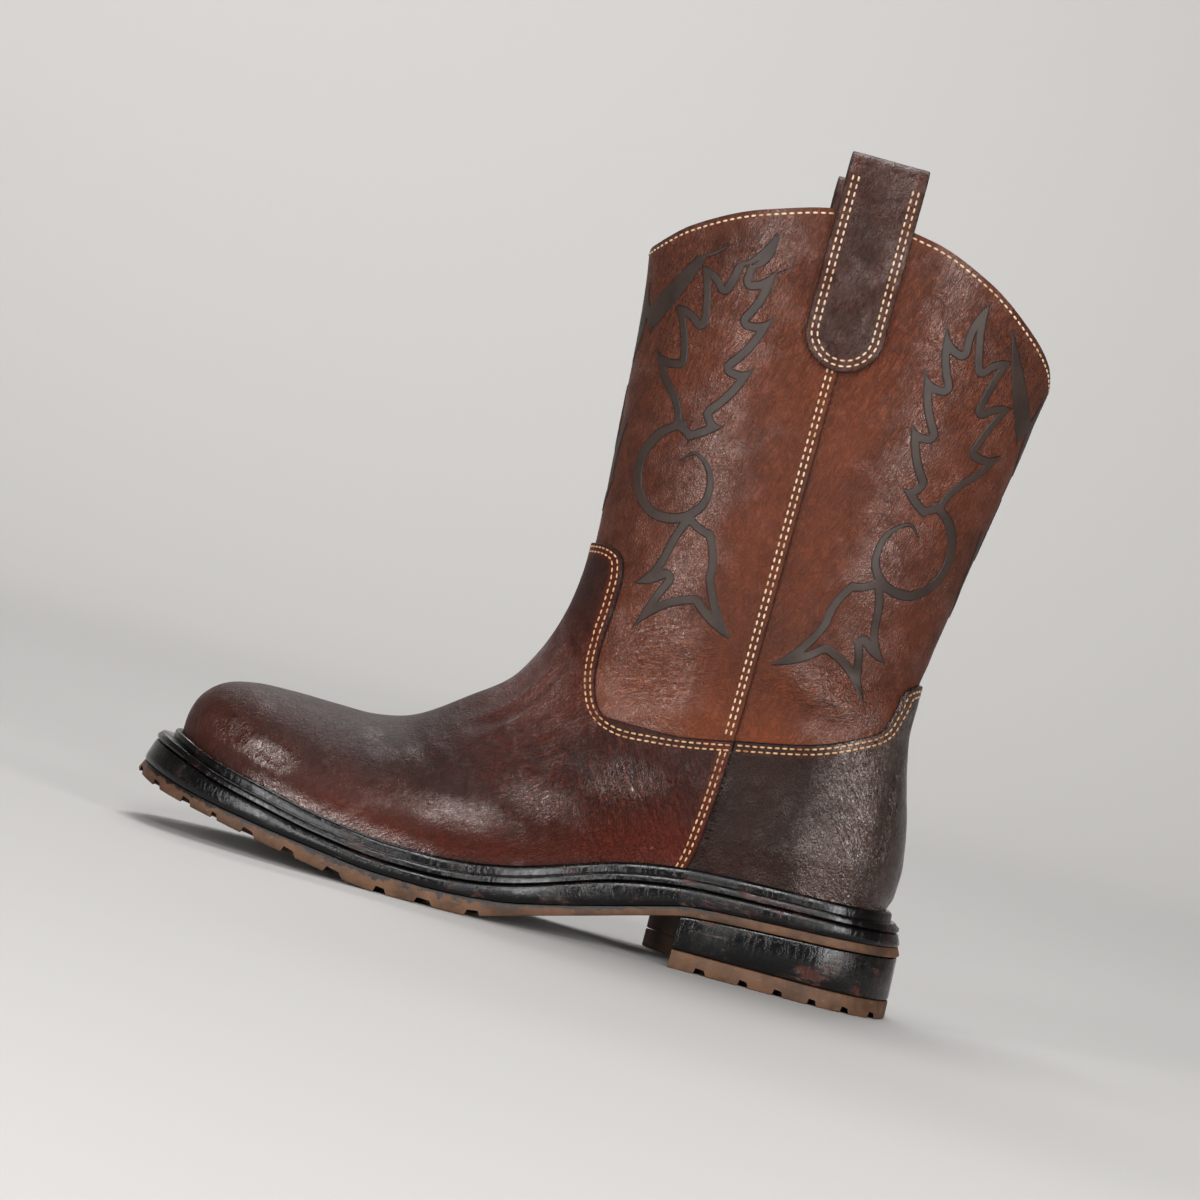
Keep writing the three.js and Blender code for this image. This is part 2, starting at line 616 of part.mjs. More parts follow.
function piece(name, geometry, look) {
  const mesh = new THREE.Mesh(geometry, new THREE.MeshStandardMaterial({ ...look, metalness: 0 }));
  mesh.name = name;
  return mesh;
}

const leatherwork = new THREE.Group();
leatherwork.add(
  piece("upper", upper(), COLOURS.shaftLeather),
  piece("vamp", vamp(), COLOURS.footLeather),
  piece("heel_counter", heelCounter(), COLOURS.counterLeather),
  piece("pull_strap_lateral", pullStrap(LATERAL), COLOURS.strapLeather),
  piece("pull_strap_medial", pullStrap(MEDIAL), COLOURS.strapLeather),
);

const sole = new THREE.Group();
sole.add(
  piece("insole", insole(), COLOURS.insoleLeather),
  piece("welt", welt(), COLOURS.blackRubber),
  piece("midsole", midsole(), COLOURS.blackRubber),
  piece("outsole", outsole(), COLOURS.gumRubber),
  piece("heel_block", heelBlock(), COLOURS.blackRubber),
  piece("heel_lift", heelLift(), COLOURS.gumRubber),
);

const boot = new THREE.Group();
boot.add(leatherwork, sole);
boot.position.x = -HEEL_ORIGIN;

export default boot;
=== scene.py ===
# A left pull-on western work boot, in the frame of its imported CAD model.
import math

import bpy
import numpy as np
from mathutils import Matrix, Vector

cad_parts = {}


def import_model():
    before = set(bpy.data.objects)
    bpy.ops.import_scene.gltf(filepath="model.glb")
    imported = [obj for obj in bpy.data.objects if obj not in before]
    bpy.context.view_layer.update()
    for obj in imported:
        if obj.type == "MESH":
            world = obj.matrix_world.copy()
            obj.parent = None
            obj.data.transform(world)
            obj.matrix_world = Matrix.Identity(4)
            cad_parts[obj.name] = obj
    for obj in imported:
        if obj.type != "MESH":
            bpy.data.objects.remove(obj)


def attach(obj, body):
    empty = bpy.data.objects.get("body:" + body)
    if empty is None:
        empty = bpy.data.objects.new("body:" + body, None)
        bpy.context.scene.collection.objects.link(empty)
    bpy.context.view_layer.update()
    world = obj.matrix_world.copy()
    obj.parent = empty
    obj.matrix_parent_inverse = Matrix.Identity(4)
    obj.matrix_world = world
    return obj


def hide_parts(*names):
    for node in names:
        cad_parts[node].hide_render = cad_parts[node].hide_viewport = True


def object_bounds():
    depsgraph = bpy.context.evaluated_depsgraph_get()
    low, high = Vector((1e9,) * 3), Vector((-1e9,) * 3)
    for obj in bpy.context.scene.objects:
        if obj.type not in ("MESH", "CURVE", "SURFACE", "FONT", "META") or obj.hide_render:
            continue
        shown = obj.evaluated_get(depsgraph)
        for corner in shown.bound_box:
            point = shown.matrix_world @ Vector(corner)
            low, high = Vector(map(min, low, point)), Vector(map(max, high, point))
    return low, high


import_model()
CAD_BOX = [list(corner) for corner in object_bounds()]

# Every form below is worked out in millimetres. Stations run back from the tip of the sole, heights up
# from the floor, and widths out from the middle, negative on the outer side of this left boot.
MM = 0.001
HEEL_ORIGIN = -CAD_BOX[0][0] / MM
SOLE_LENGTH = round((CAD_BOX[1][0] - CAD_BOX[0][0]) / MM)
LATERAL, RIDGE, MEDIAL = -1, 0, 1
FINE = 1.0  # how closely the forms are meshed

WALL = 2.4
OVERLAY = 1.4
GAP = 0.3
LIFT_THICKNESS = 7.2
LUG_DEPTH = 2.6
STRAP_WIDTH = 30.5
STRAP_THICKNESS = 2.2
STRAP_STATION = 221.8
STRAP_TOP = 319.6
STRAP_OUTER_END = 236.5
STRAP_INNER_END = 262.0
STRAP_LOOP_GAP = 8.4
STRAP_SLACK = 1.3  # how far the strap's inner end hangs off the lining


# ---------------------------------------------------------------- curves

def through(points):
    """A smooth function through points that never overshoots them."""
    at, value = np.array(points, float).T
    slope = np.diff(value) / np.diff(at)
    product = slope[:-1] * slope[1:]
    total = np.where(product > 0, slope[:-1] + slope[1:], 1)
    tangent = np.concatenate([slope[:1], np.where(product > 0, 2 * product / total, 0), slope[-1:]])

    def curve(x):
        x = np.clip(np.asarray(x, float), at[0], at[-1])
        i = np.clip(np.searchsorted(at, x, side="right") - 1, 0, len(at) - 2)
        h = at[i + 1] - at[i]
        t = (x - at[i]) / h
        near = (1 + 2 * t) * (1 - t) ** 2 * value[i] + t * (1 - t) ** 2 * h * tangent[i]
        far = t * t * (3 - 2 * t) * value[i + 1] + t * t * (t - 1) * h * tangent[i + 1]
        return near + far

    return curve


def table(at, value):
    """A rising table, carried on straight past its two ends."""
    def curve(x):
        i = np.clip(np.searchsorted(at, x) - 1, 0, len(at) - 2)
        return value[i] + (value[i + 1] - value[i]) * (x - at[i]) / (at[i + 1] - at[i])

    return curve


def mix(a, b, t):
    return a + (b - a) * t


def clamp(x):
    return np.clip(x, 0, 1)


def ease(t):
    return clamp(t) ** 2 * (3 - 2 * clamp(t))


def rounded(t, fullness):
    """The end of an outline: 0 at its tip, 1 where it reaches full width."""
    return (1 - (1 - clamp(t)) ** fullness) ** (1 / fullness)


def rate(f, x, step=0.02):
    return (f(x + step) - f(x - step)) / (2 * step)


def bell(x, middle, spread_by):
    return np.exp(-((x - middle) / spread_by) ** 2)


def run_along(path):
    """How far each point of a path lies from its start, along it."""
    return np.concatenate([[0], np.cumsum(np.linalg.norm(np.diff(path, axis=0), axis=1))])


def follow(path, run, at):
    """Each measure of a path's points, at distances along it."""
    return [np.interp(at, run, measure) for measure in path.T]


def beside(x, z, start, end):
    """Where points of the side view lie beside a straight line: the share along it, and how far off."""
    (ax, az), (bx, bz) = start, end
    dx, dz = bx - ax, bz - az
    t = clamp(((x - ax) * dx + (z - az) * dz) / max(dx * dx + dz * dz, 1e-9))
    return t, np.hypot(x - ax - t * dx, z - az - t * dz)


def smooth_path(points, pieces=12):
    """A rounded path through points, evenly eased (centripetal)."""
    p = np.array(points, float)
    p = np.vstack([2 * p[0] - p[1], p, 2 * p[-1] - p[-2]])
    run = []
    for a, b, c, d in zip(p, p[1:], p[2:], p[3:]):
        ab, bc, cd = (max(np.linalg.norm(v) ** 0.5, 1e-4) for v in (b - a, c - b, d - c))
        start = ((b - a) / ab - (c - a) / (ab + bc) + (c - b) / bc) * bc
        end = ((c - b) / bc - (d - b) / (bc + cd) + (d - c) / cd) * bc
        t = np.arange(pieces)[:, None] / pieces
        cubic = (2 * b - 2 * c + start + end) * t ** 3 + (3 * c - 3 * b - 2 * start - end) * t ** 2
        run.append(cubic + start * t + b)
    return np.vstack([*run, p[-2:-1]])


# ---------------------------------------------------------------- plan and heights of the sole

SPINE = through([[0, 6], [60, 5], [100, 4.5], [140, 3], [180, 0]])
NOSE = {LATERAL: 100, MEDIAL: 72}
SOLE_WIDTH = {
    LATERAL: through([
        [0, 58], [60, 59], [115, 60.5], [145, 54.5], [175, 43.5], [200, 38.5], [225, 37.5], [265, 37.5],
        [308, 37],
    ]),
    MEDIAL: through([
        [0, 44], [60, 45.5], [90, 46], [120, 41.5], [150, 36], [180, 34], [205, 34.5], [230, 36], [265, 37.5],
        [308, 37],
    ]),
}
TAIL = 40
PLAN_FULLNESS = 2.2

# A ring is an outline set in from the sole's: its first and last station, and how far its sides are in.
TREAD = (0, 307.5, 0)
OUTSOLE_TOP = (1.5, 306.4, 0.2)
MIDSOLE_TOP = (3.8, 305, 0.3)
WELT_EDGE = (5, 303.4, 0.8)
LEATHER_FOOT = (14.7, 296.3, 8.2)


def set_in(ring, by):
    return (ring[0] + by, ring[1] - by, ring[2] + by)


def front_width(ring, x, side):
    toe, _, inset = ring
    return (SOLE_WIDTH[side](x) - inset) * rounded((x - toe) / (NOSE[side] - toe), PLAN_FULLNESS)


def ring_line(ring, side, share):
    """Stations and widths of a ring's outline on one side."""
    x = mix(ring[0], ring[1], share)
    tail = rounded((ring[1] - x) / (TAIL - (SOLE_LENGTH - ring[1])), PLAN_FULLNESS)
    return x, SPINE(x) + side * front_width(ring, x, side) * tail


tread_line = through([
    [0, 18.1], [11, 14.6], [33, 10.6], [53, 7.2], [78, 3.3], [92, 1.1], [104, 0], [138, 0],
    [148, 2], [165, 6.3], [189, 12.4], [212, 18.4], [222, 20.6], [248, 22.3], [307, 24.6],
])
outsole_top = through([
    [2, 22.6], [22, 17.6], [53, 12.8], [78, 9.8], [102, 7.2], [126, 6.8], [150, 8.2], [165, 10.8],
    [189, 16.3], [212, 22.2], [222, 24.5], [248, 26], [307, 28.4],
])
welt_top = through([
    [5, 35.2], [13, 33.1], [32, 27.3], [53, 23], [78, 18.4], [106, 15.5], [121, 15.4], [136, 16.3],
    [150, 18.5], [160, 20.9], [175, 25.4], [189, 29.7], [204, 32.8], [223, 35.1], [248, 36.1], [298, 37.1],
])


def leather_foot(x):
    return welt_top(x) + GAP


# ---------------------------------------------------------------- form of the leather

FRONT_OUTLINE = [
    [LEATHER_FOOT[0], float(leather_foot(LEATHER_FOOT[0]))], [14.9, 43], [17.8, 51.5], [24.5, 57.7],
    [35, 60.7], [50, 61.5], [68, 61.2], [85, 61.4], [100, 65.2], [120, 78.8], [134, 89.9], [142.4, 104.5],
    [148, 121],
    [150.4, 138], [150.2, 154], [147.3, 201], [143.3, 251], [141, 267.6],
]
BACK_OUTLINE = through([
    [36, 296.3], [41, 296.3], [47, 297.9], [56, 298.3], [65, 297.3], [76, 295.2], [87, 292.2], [99, 289.2],
    [111, 287.4], [123, 287.3], [140, 289.4], [166, 293.2], [206, 299.4], [231, 303.4], [254.6, 307],
    [300, 313],
])
COLLAR_FRONT, COLLAR_BACK = 267.6, 254.6
COLLAR_LINE = through([
    [141, COLLAR_FRONT], [155, 278.8], [180, 290.3], [215, 298], [245, 294.6], [270, 285.8], [290, 273.5],
    [303, 262.2], [307, COLLAR_BACK],
])
PIVOT = (88, 150)  # the middle of the bend between the foot and the shaft
SHAFT_HALF_WIDTH = through([
    [80, 33.5], [105, 35.5], [130, 38.5], [155, 41.2], [200, 44.5], [250, 47], [300, 48],
])
HEEL_REACH = through([[41, 28.3], [75, 31], [100, 40], [125, 56], [150, 70], [200, 76], [255, 82]])
ARCH_FULLNESS = through([[14, 2.35], [60, 2.25], [88, 2.05], [115, 1.85], [148, 2]])
BULGE, BULGE_HEIGHT, RIB_HEIGHT, RIB_WIDTH = 0.06, 16, 3.8, 2.5

FRONT = smooth_path(FRONT_OUTLINE, 96)
FRONT_RUN = run_along(FRONT)
FRONT_LENGTH = FRONT_RUN[-1]
UPHILL = np.gradient(FRONT, FRONT_RUN, axis=0)
UPHILL /= np.linalg.norm(UPHILL, axis=1)[:, None]

over_foot = FRONT[FRONT[:, 0] <= PIVOT[0] + 2]
ridge_height = table(over_foot[:, 0], over_foot[:, 1])
up_shaft = FRONT[FRONT[:, 1] >= PIVOT[1] - 2]
shaft_front = table(up_shaft[:, 1], up_shaft[:, 0])
round_instep = FRONT[(FRONT[:, 0] >= PIVOT[0] - 2) & (FRONT[:, 1] <= PIVOT[1] + 2)]
ridge_radius = table(
    np.arctan2(round_instep[:, 0] - PIVOT[0], PIVOT[1] - round_instep[:, 1]),
    np.hypot(round_instep[:, 0] - PIVOT[0], round_instep[:, 1] - PIVOT[1]),
)


def front_arch(x, z):
    """Depth behind the front outline, the depth of full width, and how full the arch is."""
    def upright(at):
        return ridge_height(at) - leather_foot(at)

    def level(at):
        return (BACK_OUTLINE(at) - shaft_front(at)) / 2

    angle = np.arctan2(x - PIVOT[0], PIVOT[1] - z)
    turn = clamp(angle / (math.pi / 2))
    depth = np.hypot(x - PIVOT[0], z - PIVOT[1]) - ridge_radius(angle)
    reach = mix(upright(PIVOT[0]), level(PIVOT[1]), turn)
    fullness = ARCH_FULLNESS(PIVOT[0] + 60 * turn)
    over, up = x < PIVOT[0], z > PIVOT[1]
    depth = np.where(over, ridge_height(x) - z, np.where(up, x - shaft_front(z), depth))
    reach = np.where(over, upright(x), np.where(up, level(z), reach))
    fullness = np.where(over, ARCH_FULLNESS(x), np.where(up, ARCH_FULLNESS(148), fullness))
    return depth, reach, fullness


def leather_width(x, z, side):
    swell = 1 + BULGE * ease((z - leather_foot(x) - RIB_HEIGHT) / BULGE_HEIGHT)
    foot = np.where(side < 0, front_width(LEATHER_FOOT, x, LATERAL), front_width(LEATHER_FOOT, x, MEDIAL))
    width = mix(foot * swell, SHAFT_HALF_WIDTH(z), ease((z - 55) / 75))
    depth, reach, fullness = front_arch(x, z)
    back = rounded((BACK_OUTLINE(z) - x) / HEEL_REACH(z), mix(PLAN_FULLNESS, 2, ease((z - 80) / 70)))
    return width * rounded(depth / reach, fullness) * back


def skin(x, z, side):
    """Points of the leather's outer face and the directions they face."""
    x, z, side = np.broadcast_arrays(np.asarray(x, float), np.asarray(z, float), side)
    width = np.where(side == RIDGE, 0, leather_width(x, z, side))
    at = np.stack([x, SPINE(x) + side * width, z], -1)
    out = np.stack([
        -side * rate(SPINE, x) - rate(lambda u: leather_width(u, z, side), x),
        side + 0.0,
        -rate(lambda u: leather_width(x, u, side), z),
    ], -1)
    out /= np.maximum(np.linalg.norm(out, axis=-1), 1e-9)[..., None]
    return at, out


# Level lines run back from the front outline to the back one, square to the front.
BACK_HEIGHT = through([
    [0, float(leather_foot(LEATHER_FOOT[1]))], [37, 49], [61, 56], [86, 65], [110, 76], [133, 87], [156, 100],
    [184, 120], [205, 140], [FRONT_LENGTH, COLLAR_BACK],
])
CROWN_DROP = through([[0, 0.46], [40, 0.46], [75, 0.36], [125, 0.24]])
SOLE_SAG_ENDS = 105
COLLAR_RISE_STARTS = 190


def level_lines(front, share):
    """Stations and heights of points along level lines."""
    front, share = np.broadcast_arrays(front, share)
    tip_x, tip_z = follow(FRONT, FRONT_RUN, front)
    up_x, up_z = follow(UPHILL, FRONT_RUN, front)
    back_z = BACK_HEIGHT(front)
    back_x = BACK_OUTLINE(back_z)
    knee = mix(0.08, 0.5, np.abs(up_z))
    drop = CROWN_DROP(front) * up_x ** 2 * (tip_z - leather_foot(tip_x))
    knee_x = mix(tip_x, back_x, knee)
    knee_z = mix(tip_z, back_z, knee) - drop

    def bend(start, middle, end):
        return mix(mix(start, middle, share), mix(middle, end, share), share)

    x = bend(tip_x, knee_x, back_x)
    along = (x - tip_x) / (back_x - tip_x)
    sag = leather_foot(x) - mix(leather_foot(tip_x), leather_foot(back_x), along)
    rise = COLLAR_LINE(x) - mix(COLLAR_LINE(tip_x), COLLAR_LINE(back_x), along)
    risen = clamp((front - COLLAR_RISE_STARTS) / (FRONT_LENGTH - COLLAR_RISE_STARTS))
    z = bend(tip_z, knee_z, back_z) + sag * (1 - clamp(front / SOLE_SAG_ENDS)) + rise * risen ** 1.4
    return x, z


# ---------------------------------------------------------------- distances in the side view

def to_path(points, closed=False):
    """A function that gives how far points of the side view lie from a path."""
    p = np.array(points, float)
    if closed:
        p = np.vstack([p, p[:1]])

    def away(x, z):
        best = np.full(np.shape(x), 1e9)
        for ends in zip(p, p[1:]):
            best = np.minimum(best, beside(x, z, *ends)[1])
        return best

    return away


def inside_path(points):
    """How deep points of the side view lie inside a closed outline, negative outside it."""
    p = np.array(points, float)
    away = to_path(p, closed=True)

    def depth(x, z):
        odd = np.zeros(np.shape(x), bool)
        for (ax, az), (bx, bz) in zip(p, np.roll(p, -1, 0)):
            if az != bz:
                odd ^= ((az > z) != (bz > z)) & (x < ax + (z - az) * (bx - ax) / (bz - az))
        return np.where(odd, 1, -1) * away(x, z)

    return depth


SIDE_SEAM = through([
    [5, 215.2], [34, 216.4], [45, 218.6], [70, 221.2], [95, 222.2], [150, 222.5], [235, 223], [300, 223.4],
])
JUNCTION = [222, 90.5]  # where the top edges of the vamp and the counter meet on the side seam
UNDER_TOPS = 86  # the height under which the side seam alone parts the vamp from the counter
VAMP_TOP = smooth_path([
    JUNCTION, [205, 87], [190, 85.2], [177, 84.6], [169, 88], [164.6, 98], [163.6, 112], [164.8, 130],
    [164.6, 141], [162, 148], [156, 150.6], [146, 149.6],
], 8)
COUNTER_TOP = smooth_path([
    JUNCTION, [236, 93.2], [252, 97], [266, 102.6], [276, 108.6], [279, 117], [281.6, 126], [292, 131.4],
], 8)
vamp_field = inside_path([[-20, -5], [-20, VAMP_TOP[-1, 1]], *VAMP_TOP[::-1], [JUNCTION[0], -5]])
in_counter = inside_path([*COUNTER_TOP, [340, COUNTER_TOP[-1, 1]], [340, -5], [JUNCTION[0], -5]])


def ahead_of_seam(x, z):
    return SIDE_SEAM(z) - x


def in_vamp(x, z):
    low = np.minimum(ahead_of_seam(x, z), 60)
    return np.where(z < UNDER_TOPS, low, np.minimum(low, vamp_field(x, z)))


# ---------------------------------------------------------------- creases, dents and swells

def trough(x, z, line, width, depth, lip=0.35):
    """A soft fold along a line: a trough between two low lips, dying out at its ends."""
    p = np.array(line, float)
    run = run_along(p)
    best = np.full(np.shape(x), 1e9)
    along = np.zeros(np.shape(x))
    for a, b, start, end in zip(p, p[1:], run, run[1:]):
        t, off = beside(x, z, a, b)
        along = np.where(off < best, mix(start, end, t), along)
        best = np.minimum(best, off)
    away = best / width
    fade = ease(np.minimum(along, run[-1] - along) / (0.35 * run[-1]) + 0.15)
    return fade * depth * (np.exp(-away ** 2) - lip * np.exp(-((away - 1.9) ** 2)))


# Folds of the worn leather as (sides, line in the side view, width, depth): troughs have a negative depth.
BOTH = (LATERAL, RIDGE, MEDIAL)
OUTER = (LATERAL,)
FOLDS = [
    # broad dents of the shaft over the ankle, in front
    (BOTH, [[170, 95], [180, 104], [192, 110], [206, 113]], 6.5, -1.3),
    (BOTH, [[166, 104], [178, 113], [190, 121], [201, 130]], 5.0, 1.0),
    (BOTH, [[166, 122], [176, 125], [186, 133]], 5.5, -0.8),
    (BOTH, [[176, 92], [190, 95], [206, 96], [218, 95]], 4.5, 0.7),
    # and behind
    (BOTH, [[288, 138], [274, 129], [258, 127], [242, 130]], 6.0, -1.3),
    (BOTH, [[232, 125], [246, 119], [260, 114], [274, 110]], 5.5, 1.3),
    (BOTH, [[240, 108], [254, 105], [268, 106]], 4.5, -1.0),
    (BOTH, [[290, 152], [276, 144], [262, 142], [248, 145]], 6.0, -0.7),
    (BOTH, [[250, 152], [256, 166], [258, 182]], 7.0, 0.7),
    (BOTH, [[172, 235], [186, 228], [198, 214]], 9.0, 0.6),
    # where the foot bends behind the toes
    (BOTH, [[98, 60], [110, 54], [124, 46], [138, 38]], 3.6, -0.4),
    (BOTH, [[108, 66], [120, 58], [134, 49], [150, 40]], 3.4, -0.45),
    # creases along the instep
    (BOTH, [[114, 68], [128, 78], [139, 89], [146, 103]], 1.7, -0.7),
    (BOTH, [[118, 64], [133, 74], [145, 86], [152, 101], [154, 114]], 1.7, -0.85),
    (BOTH, [[126, 61], [140, 71], [152, 84], [158, 97]], 1.7, -0.8),
    (BOTH, [[136, 60], [148, 70], [158, 81]], 1.6, -0.7),
    (BOTH, [[146, 60], [156, 69], [165, 77]], 1.6, -0.6),
    (BOTH, [[150, 112], [156, 104], [161, 99]], 1.7, -0.5),
    (BOTH, [[150, 124], [157, 116], [162, 110]], 1.9, -0.5),
    # long hollows that run down to the sole behind the ball of the foot
    (OUTER, [[160, 76], [174, 66], [186, 55], [194, 42]], 3.6, -0.5),
    (OUTER, [[170, 80], [184, 70], [196, 58], [204, 45]], 3.4, -0.5),
    (OUTER, [[182, 82], [196, 73], [206, 61], [212, 50]], 3.0, -0.4),
    (OUTER, [[150, 66], [162, 58], [174, 47], [180, 38]], 3.4, -0.35),
    # dents of the toe
    (OUTER, [[42, 41], [51, 39], [61, 37]], 2.6, -0.8),
    (OUTER, [[27, 46], [34, 44], [41, 42]], 2.4, -0.65),
    (OUTER, [[34, 34], [40, 33], [47, 33]], 2.0, -0.5),
    (BOTH, [[24, 50], [40, 54], [58, 54]], 5.0, 0.3),
    # heel
    (OUTER, [[262, 92], [268, 76], [272, 60]], 4.5, -0.3),
    (OUTER, [[283, 108], [285, 92], [286, 74], [286, 56]], 2.0, -0.5),
    (OUTER, [[276, 100], [279, 84], [281, 66]], 3.6, 0.4),
]


def relief(x, z, side):
    """How far the worn leather stands out from its smooth form."""
    total = np.zeros(np.shape(x))
    for sides, line, width, depth in FOLDS:
        total += np.where(np.isin(side, sides), trough(x, z, line, width, depth), 0)
    swell = 0.5 * np.sin(x / 17 + z / 29) * np.sin(z / 23 - x / 41) + 0.3 * np.sin(x / 11 - z / 13 + 2)
    total += swell * ease((z - 100) / 60)
    near_sole = ease((z - leather_foot(x) - 2) / 12)
    near_collar = ease((COLLAR_LINE(x) - z) / 25)
    return total * near_sole * near_collar


# ---------------------------------------------------------------- sheets of leather

class Sheet:
    """Triangles laid on the leather: the station, height and side of each corner."""

    def __init__(self, x, z, side, faces):
        self.x, self.z, self.side, self.faces = x, z, side, faces

    def cut(self, field, snap=0.02):
        """Splits the triangles along the line where a field of the side view is zero."""
        f = field(self.x, self.z)
        f = np.where(np.abs(f) < snap, 0, f)
        sign = np.sign(f).astype(int)
        around = sign[self.faces]
        crossing = (around.min(1) < 0) & (around.max(1) > 0)
        if not crossing.any():
            return self
        kept, split = self.faces[~crossing], self.faces[crossing]
        s = sign[split]
        has_zero = (s == 0).any(1)
        lone = np.where(s.sum(1) > 0, (s == -1).argmax(1), (s == 1).argmax(1))
        first = np.where(has_zero, (s == 0).argmax(1), lone)
        rows = np.arange(len(split))
        a, b, c = (split[rows, (first + k) % 3] for k in range(3))
        edges = np.concatenate([
            np.stack([b, c], 1)[has_zero], np.stack([a, b], 1)[~has_zero], np.stack([a, c], 1)[~has_zero],
        ])
        unique, new = np.unique(np.sort(edges, 1), axis=0, return_inverse=True)
        new = new.ravel() + len(self.x)
        i, j = unique.T
        low, high = np.zeros(len(i)), np.ones(len(i))
        f_low, f_high = f[i], f[j]
        for _ in range(3):
            t = low + (high - low) * f_low / (f_low - f_high)
            x, z = mix(self.x[i], self.x[j], t), mix(self.z[i], self.z[j], t)
            here = field(x, z)
            same = np.sign(here) == np.sign(f_low)
            low, f_low = np.where(same, t, low), np.where(same, here, f_low)
            high, f_high = np.where(same, high, t), np.where(same, f_high, here)
        side = np.where(self.side[i] == RIDGE, self.side[j], self.side[i])
        zeros, others = has_zero.sum(), (~has_zero).sum()
        p = new[:zeros]
        az, bz, cz = a[has_zero], b[has_zero], c[has_zero]
        q, r = new[zeros:zeros + others], new[zeros + others:]
        ao, bo, co = a[~has_zero], b[~has_zero], c[~has_zero]
        pieces = [(az, bz, p), (az, p, cz), (ao, q, r), (q, bo, co), (q, co, r)]
        faces = np.vstack([kept, *(np.stack(t, 1) for t in pieces)])
        joined_up = (np.concatenate(pair) for pair in ((self.x, x), (self.z, z), (self.side, side)))
        return Sheet(*joined_up, faces)

    def keep(self, field):
        """The triangles where a field is positive."""
        middle = field(self.x[self.faces].mean(1), self.z[self.faces].mean(1)) > 0
        used, faces = np.unique(self.faces[middle], return_inverse=True)
        return Sheet(self.x[used], self.z[used], self.side[used], faces.reshape(-1, 3))

    def trimmed(self, field, bevels=(0.25, 0.8)):
        """The part where a field is positive, with extra lines close inside its edge."""
        part = self.cut(field).keep(field)
        for inset in bevels:
            part = part.cut(lambda x, z, inset=inset: field(x, z) - inset)
        return part

    def placed(self, offset, move=relief):
        """Where the corners lie at an offset from the leather's form, and how they face."""
        at, out = skin(self.x, self.z, np.where(self.side == RIDGE, MEDIAL, self.side))
        ridge = self.side == RIDGE
        at[ridge, 1] = SPINE(self.x[ridge])
        out[ridge, 1] = 0
        toe_tip = ridge & (self.x < 20)  # where the ridge stands upright and faces forward
        out[toe_tip, 0] = -np.abs(out[toe_tip, 0])
        out /= np.linalg.norm(out, axis=1)[:, None]
        moved = offset + (move(self.x, self.z, self.side) if move else 0)
        return at + out * np.broadcast_to(moved, self.x.shape)[:, None], out


def triangles(a, b, c, d):
    """Two triangles for each four-sided patch, from the numbers of its corners."""
    return np.vstack([np.stack([a, b, c], -1).reshape(-1, 3), np.stack([a, c, d], -1).reshape(-1, 3)])


def level_sheet(front, share, sides="ring"):
    """A sheet over level lines: all round the boot, or across one of its two folds."""
    n = len(share) - 1
    if sides == "ring":
        column = np.concatenate([np.arange(n + 1), np.arange(n - 1, 0, -1)])
        side = np.concatenate([[RIDGE], np.full(n - 1, LATERAL), [RIDGE], np.full(n - 1, MEDIAL)])
    elif sides == "front":
        column = np.concatenate([np.arange(n, 0, -1), np.arange(n + 1)])
        side = np.concatenate([np.full(n, MEDIAL), [RIDGE], np.full(n, LATERAL)])
    else:
        column = np.concatenate([np.arange(n + 1), np.arange(n - 1, -1, -1)])
        side = np.concatenate([np.full(n, LATERAL), [RIDGE], np.full(n, MEDIAL)])
    x, z = level_lines(np.asarray(front)[:, None], np.asarray(share)[None, column])
    rows, columns = x.shape
    index = np.arange(rows * columns).reshape(rows, columns)
    right = np.roll(index, -1, 1) if sides == "ring" else index[:, 1:]
    left = index if sides == "ring" else index[:, :-1]
    faces = triangles(left[:-1], right[:-1], right[1:], left[1:])
    return Sheet(x.ravel(), z.ravel(), np.broadcast_to(side, x.shape).ravel(), faces)


def spread(count):
    """Shares from 0 to 1, closer together towards both ends."""
    return (1 - np.cos(np.pi * np.arange(count + 1) / count)) / 2


def steps(start, end, size):
    return np.linspace(start, end, max(int(round((end - start) / (size / FINE))), 2) + 1)


# ---------------------------------------------------------------- making objects

def linked(name, data):
    made = bpy.data.objects.new(name, data)
    bpy.context.scene.collection.objects.link(made)
    return made


def in_frame(points):
    """Points in millimetres from the tip of the sole, as metres in the part's own frame."""
    return (np.asarray(points, float) - [HEEL_ORIGIN, 0, 0]) * MM


def point_mesh(name, points):
    mesh = bpy.data.meshes.new(name)
    mesh.vertices.add(len(points))
    mesh.vertices.foreach_set("co", in_frame(points).astype(np.float32).ravel())
    return mesh


def make_mesh(name, points, faces):
    """A mesh object of triangles, from points in millimetres."""
    mesh = point_mesh(name, points)
    faces = np.asarray(faces, np.int32)
    mesh.loops.add(faces.size)
    mesh.loops.foreach_set("vertex_index", faces.ravel())
    mesh.polygons.add(len(faces))
    mesh.polygons.foreach_set("loop_start", np.arange(0, faces.size, 3, dtype=np.int32))
    mesh.update(calc_edges=True)
    mesh.validate()
    return linked(name, mesh)


def smooth(made, angle=38):
    """Smooth shading that keeps edges sharper than an angle."""
    mesh = made.data
    mesh.polygons.foreach_set("use_smooth", np.ones(len(mesh.polygons), bool))
    mesh.set_sharp_from_angle(angle=math.radians(angle))


def paint(made, name, values):
    """Keeps a number for each corner point, for the materials to read."""
    kept = made.data.attributes.new(name, "FLOAT", "POINT")
    kept.data.foreach_set("value", np.asarray(values, np.float32))


def dress(made, material, slot, *nodes):
    made.data.materials.append(material)
    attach(made, "root")
    if nodes:
        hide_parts(*nodes)
    return made


